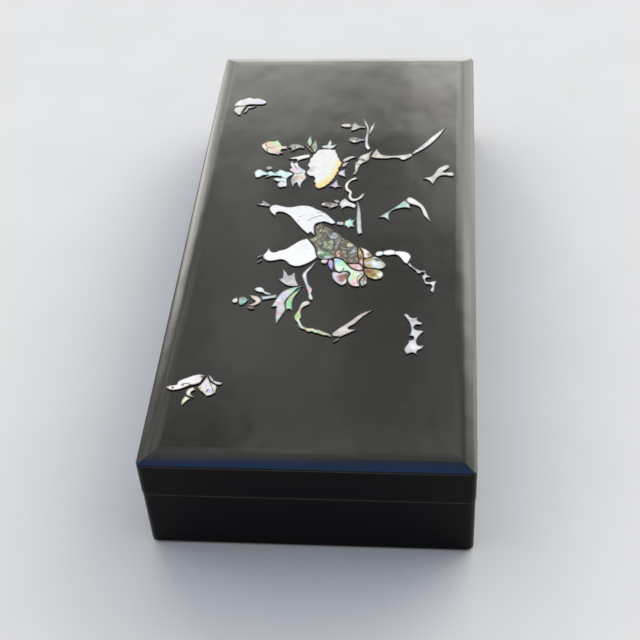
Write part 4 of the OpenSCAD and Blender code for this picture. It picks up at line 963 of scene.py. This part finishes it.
def grid_rows(size):
    if size <= NARROW:
        return np.linspace(0, size, NARROW_ROWS)
    run = np.linspace(RUN_FROM, size - RUN_FROM, max(2, int(size / RUN_STEP)))
    return np.array(EDGE_ROWS + list(run) + [size - row for row in reversed(EDGE_ROWS)])


def cloth_board(name, node, axis, side, soft, crown, look):
    """A thin board covered in cloth: flat behind, softly rounded at the edges of its front."""
    low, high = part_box(node)
    u, v = [k for k in range(3) if k != axis]
    thick = high[axis] - low[axis]
    u_size, v_size = high[u] - low[u], high[v] - low[v]
    us, vs = grid_rows(u_size), grid_rows(v_size)
    verts, faces = [], []
    for a in us:
        for b in vs:
            inset = max(0.0, min(a, u_size - a, b, v_size - b))
            wave = WAVE_DEPTH * math.sin(a * 190 + 1.3) * math.sin(b * 230 + 0.4)
            top = thick - crown * math.exp(-inset / soft) - FRONT_ROOM + min(1.0, inset / WAVE_FULL) * wave
            point = [0.0, 0.0, 0.0]
            point[u], point[v] = low[u] + a, low[v] + b
            point[axis] = low[axis] + top if side > 0 else high[axis] - top
            verts.append(point)
    n, k = len(us), len(vs)
    for i in range(n - 1):
        for j in range(k - 1):
            faces.append((i * k + j, (i + 1) * k + j, (i + 1) * k + j + 1, i * k + j + 1))
    fronts = len(faces)
    rim = [i * k for i in range(n)] + [(n - 1) * k + j for j in range(1, k)]
    rim += [i * k + k - 1 for i in range(n - 2, -1, -1)] + list(range(k - 2, 0, -1))
    first = len(verts)
    for r in rim:
        point = list(verts[r])
        point[axis] = low[axis] if side > 0 else high[axis]
        verts.append(point)
    for i in range(len(rim)):
        j = (i + 1) % len(rim)
        faces.append((rim[i], first + i, first + j, rim[j]))
    faces.append(tuple(range(first + len(rim) - 1, first - 1, -1)))
    mesh = bpy.data.meshes.new(name)
    mesh.from_pydata(verts, [], faces)
    mesh.validate()
    mesh.materials.append(look)
    mesh.polygons.foreach_set("use_smooth", [i < fronts for i in range(len(mesh.polygons))])
    board = bpy.data.objects.new(name, mesh)
    scene.collection.objects.link(board)
    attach(board, "base" if node.startswith("base") else "lid")
    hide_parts(node)
    return board


for body, panel, panel_side in (("base", "floor", 1), ("lid", "panel", -1)):
    boards = [(panel, 2, panel_side), ("front", 1, 1), ("back", 1, -1), ("left", 0, 1), ("right", 0, -1)]
    for place, axis, side in boards:
        node, name = f"{body}_{place}_lining", f"velvet_{body}_{place}"
        board = cloth_board(name, node, axis, side, soft=0.0011, crown=0.0005, look=velvet)
sheet = cloth_board("felt_sheet", "base_felt", axis=2, side=-1, soft=0.0006, crown=0.00015, look=felt)


# Floor
FLOOR_HALF = 8


def make_floor():
    look, g, skin = material("pale_floor")
    cloud = g.noise(g.place(), scale=0.02, detail=4.0, rough=0.6)
    g.feed(skin.inputs["Base Color"], g.mix(cloud, srgb(222, 220, 216), srgb(230, 228, 225)))
    skin.inputs["Roughness"].default_value = 0.9
    skin.inputs["Specular IOR Level"].default_value = 0.1
    return look


mesh = bpy.data.meshes.new("floor")
corners = [(x * FLOOR_HALF, y * FLOOR_HALF, 0) for x, y in ((-1, -1), (1, -1), (1, 1), (-1, 1))]
mesh.from_pydata(corners, [], [(0, 1, 2, 3)])
mesh.materials.append(make_floor())
floor = bpy.data.objects.new("floor", mesh)
scene.collection.objects.link(floor)


# Soft studio light: a dim pale room with a wide soft window beyond the far end of the box, which reaches
# higher on one side, a soft screen to the left and to the right, and a cool patch overhead. A direction
# has its height z, and how far it turns ahead (+X) and to the side (+Y).
ROOM = (0.25, 0.25, 0.24, 1)
OVERHEAD = (0.30, 0.62, 1.45, 1)
WINDOW_STRENGTH = 3.1
SCREEN_STRENGTH = 0.55
GREEN_SHARE, BLUE_SHARE = 0.985, 0.92  # the pale light's tint


def make_window(g, ahead, side, z, patches):
    reach = g.math("ADD", g.fade(side, -0.02, -0.07, 0.0, 0.06), g.fade(side, -0.1, -0.4, 0.0, 0.02))
    level = g.math("SUBTRACT", g.math("SUBTRACT", z, reach), g.fade(side, 0.06, 0.0, 0.0, 0.012))
    bar = g.product(g.fade(side, 0.10, 0.092), g.fade(side, 0.03, 0.05), 0.2)
    left = g.math("ADD", g.fade(side, 0.2, 0.3, 1.0, 0.7), g.fade(side, 0.38, 0.5))
    left = g.product(left, g.fade(side, 0.63, 0.47))
    return g.product(
        g.fade(z, 0.0, 0.1), g.fade(z, 0.4, 0.12, 1.0, 1.5), g.fade(level, 0.625, 0.515),
        g.fade(ahead, 0.0, 0.4), g.fade(patches, 0.3, 0.7, 0.8, 1.2),
        left, g.fade(side, -0.95, -0.7), g.math("SUBTRACT", 1.0, bar), WINDOW_STRENGTH,
    )


def make_upper(g, ahead, side, z, patches, streaks):
    """The pale wall and ceiling above the window, with a darker sill and lighter flanks."""
    sill = g.product(
        g.fade(z, 0.585, 0.597), g.fade(z, 0.63, 0.61),
        g.fade(side, 0.0, 0.03), g.fade(side, 0.19, 0.15), 0.35,
    )
    flank = g.product(g.fade(g.off(side, 0.1), 0.03, 0.11), g.fade(z, 0.74, 0.63, 0.15, 0.5))
    return g.product(
        g.fade(ahead, -0.4, 0.5), g.fade(z, 0.25, 0.5), g.fade(z, 0.97, 0.84),
        g.fade(streaks, 0.3, 0.7, 0.35, 1.1), g.fade(patches, 0.3, 0.7, 0.7, 1.3),
        g.math("SUBTRACT", g.math("ADD", flank, 0.97), sill),
    )


def make_light():
    world = bpy.data.worlds.new("studio")
    scene.world = world
    world.use_nodes = True
    g = Graph(world.node_tree)
    direction = g.node("TexCoord").outputs["Generated"]
    x, y, z = g.parts(direction)
    level_part = g.math("SQRT", g.math("ADD", g.product(x, x), g.product(y, y)))
    level_part = g.math("MAXIMUM", level_part, 0.001)
    ahead = g.math("DIVIDE", x, level_part)
    side = g.math("DIVIDE", y, level_part)
    streaks = g.noise(g.stretched(direction, (2.0, 3.0, 16.0)), scale=1.0, detail=3.0, rough=0.55, warp=0.4)
    patches = g.noise(g.stretched(direction, (3.0, 9.0, 5.0)), scale=1.0)
    window = make_window(g, ahead, side, z, patches)
    upper = make_upper(g, ahead, side, z, patches, streaks)
    screens = g.product(
        g.fade(g.math("ABSOLUTE", side), 0.74, 0.94),
        g.fade(z, 0.15, 0.45), g.fade(z, 0.97, 0.84), SCREEN_STRENGTH,
    )
    bright = g.math("ADD", g.math("ADD", window, upper), screens)
    tint = {0: bright, 1: g.product(bright, GREEN_SHARE), 2: g.product(bright, BLUE_SHARE)}
    pale = g.node("CombineColor", tint).outputs[0]
    room = g.mix(g.fade(z, 0.88, 0.98), ROOM, OVERHEAD)
    light = g.node("Background", {"Color": g.mix(1.0, room, pale, "ADD")})
    out = g.node("OutputWorld")
    g.feed(out.inputs["Surface"], light.outputs[0])


make_light()
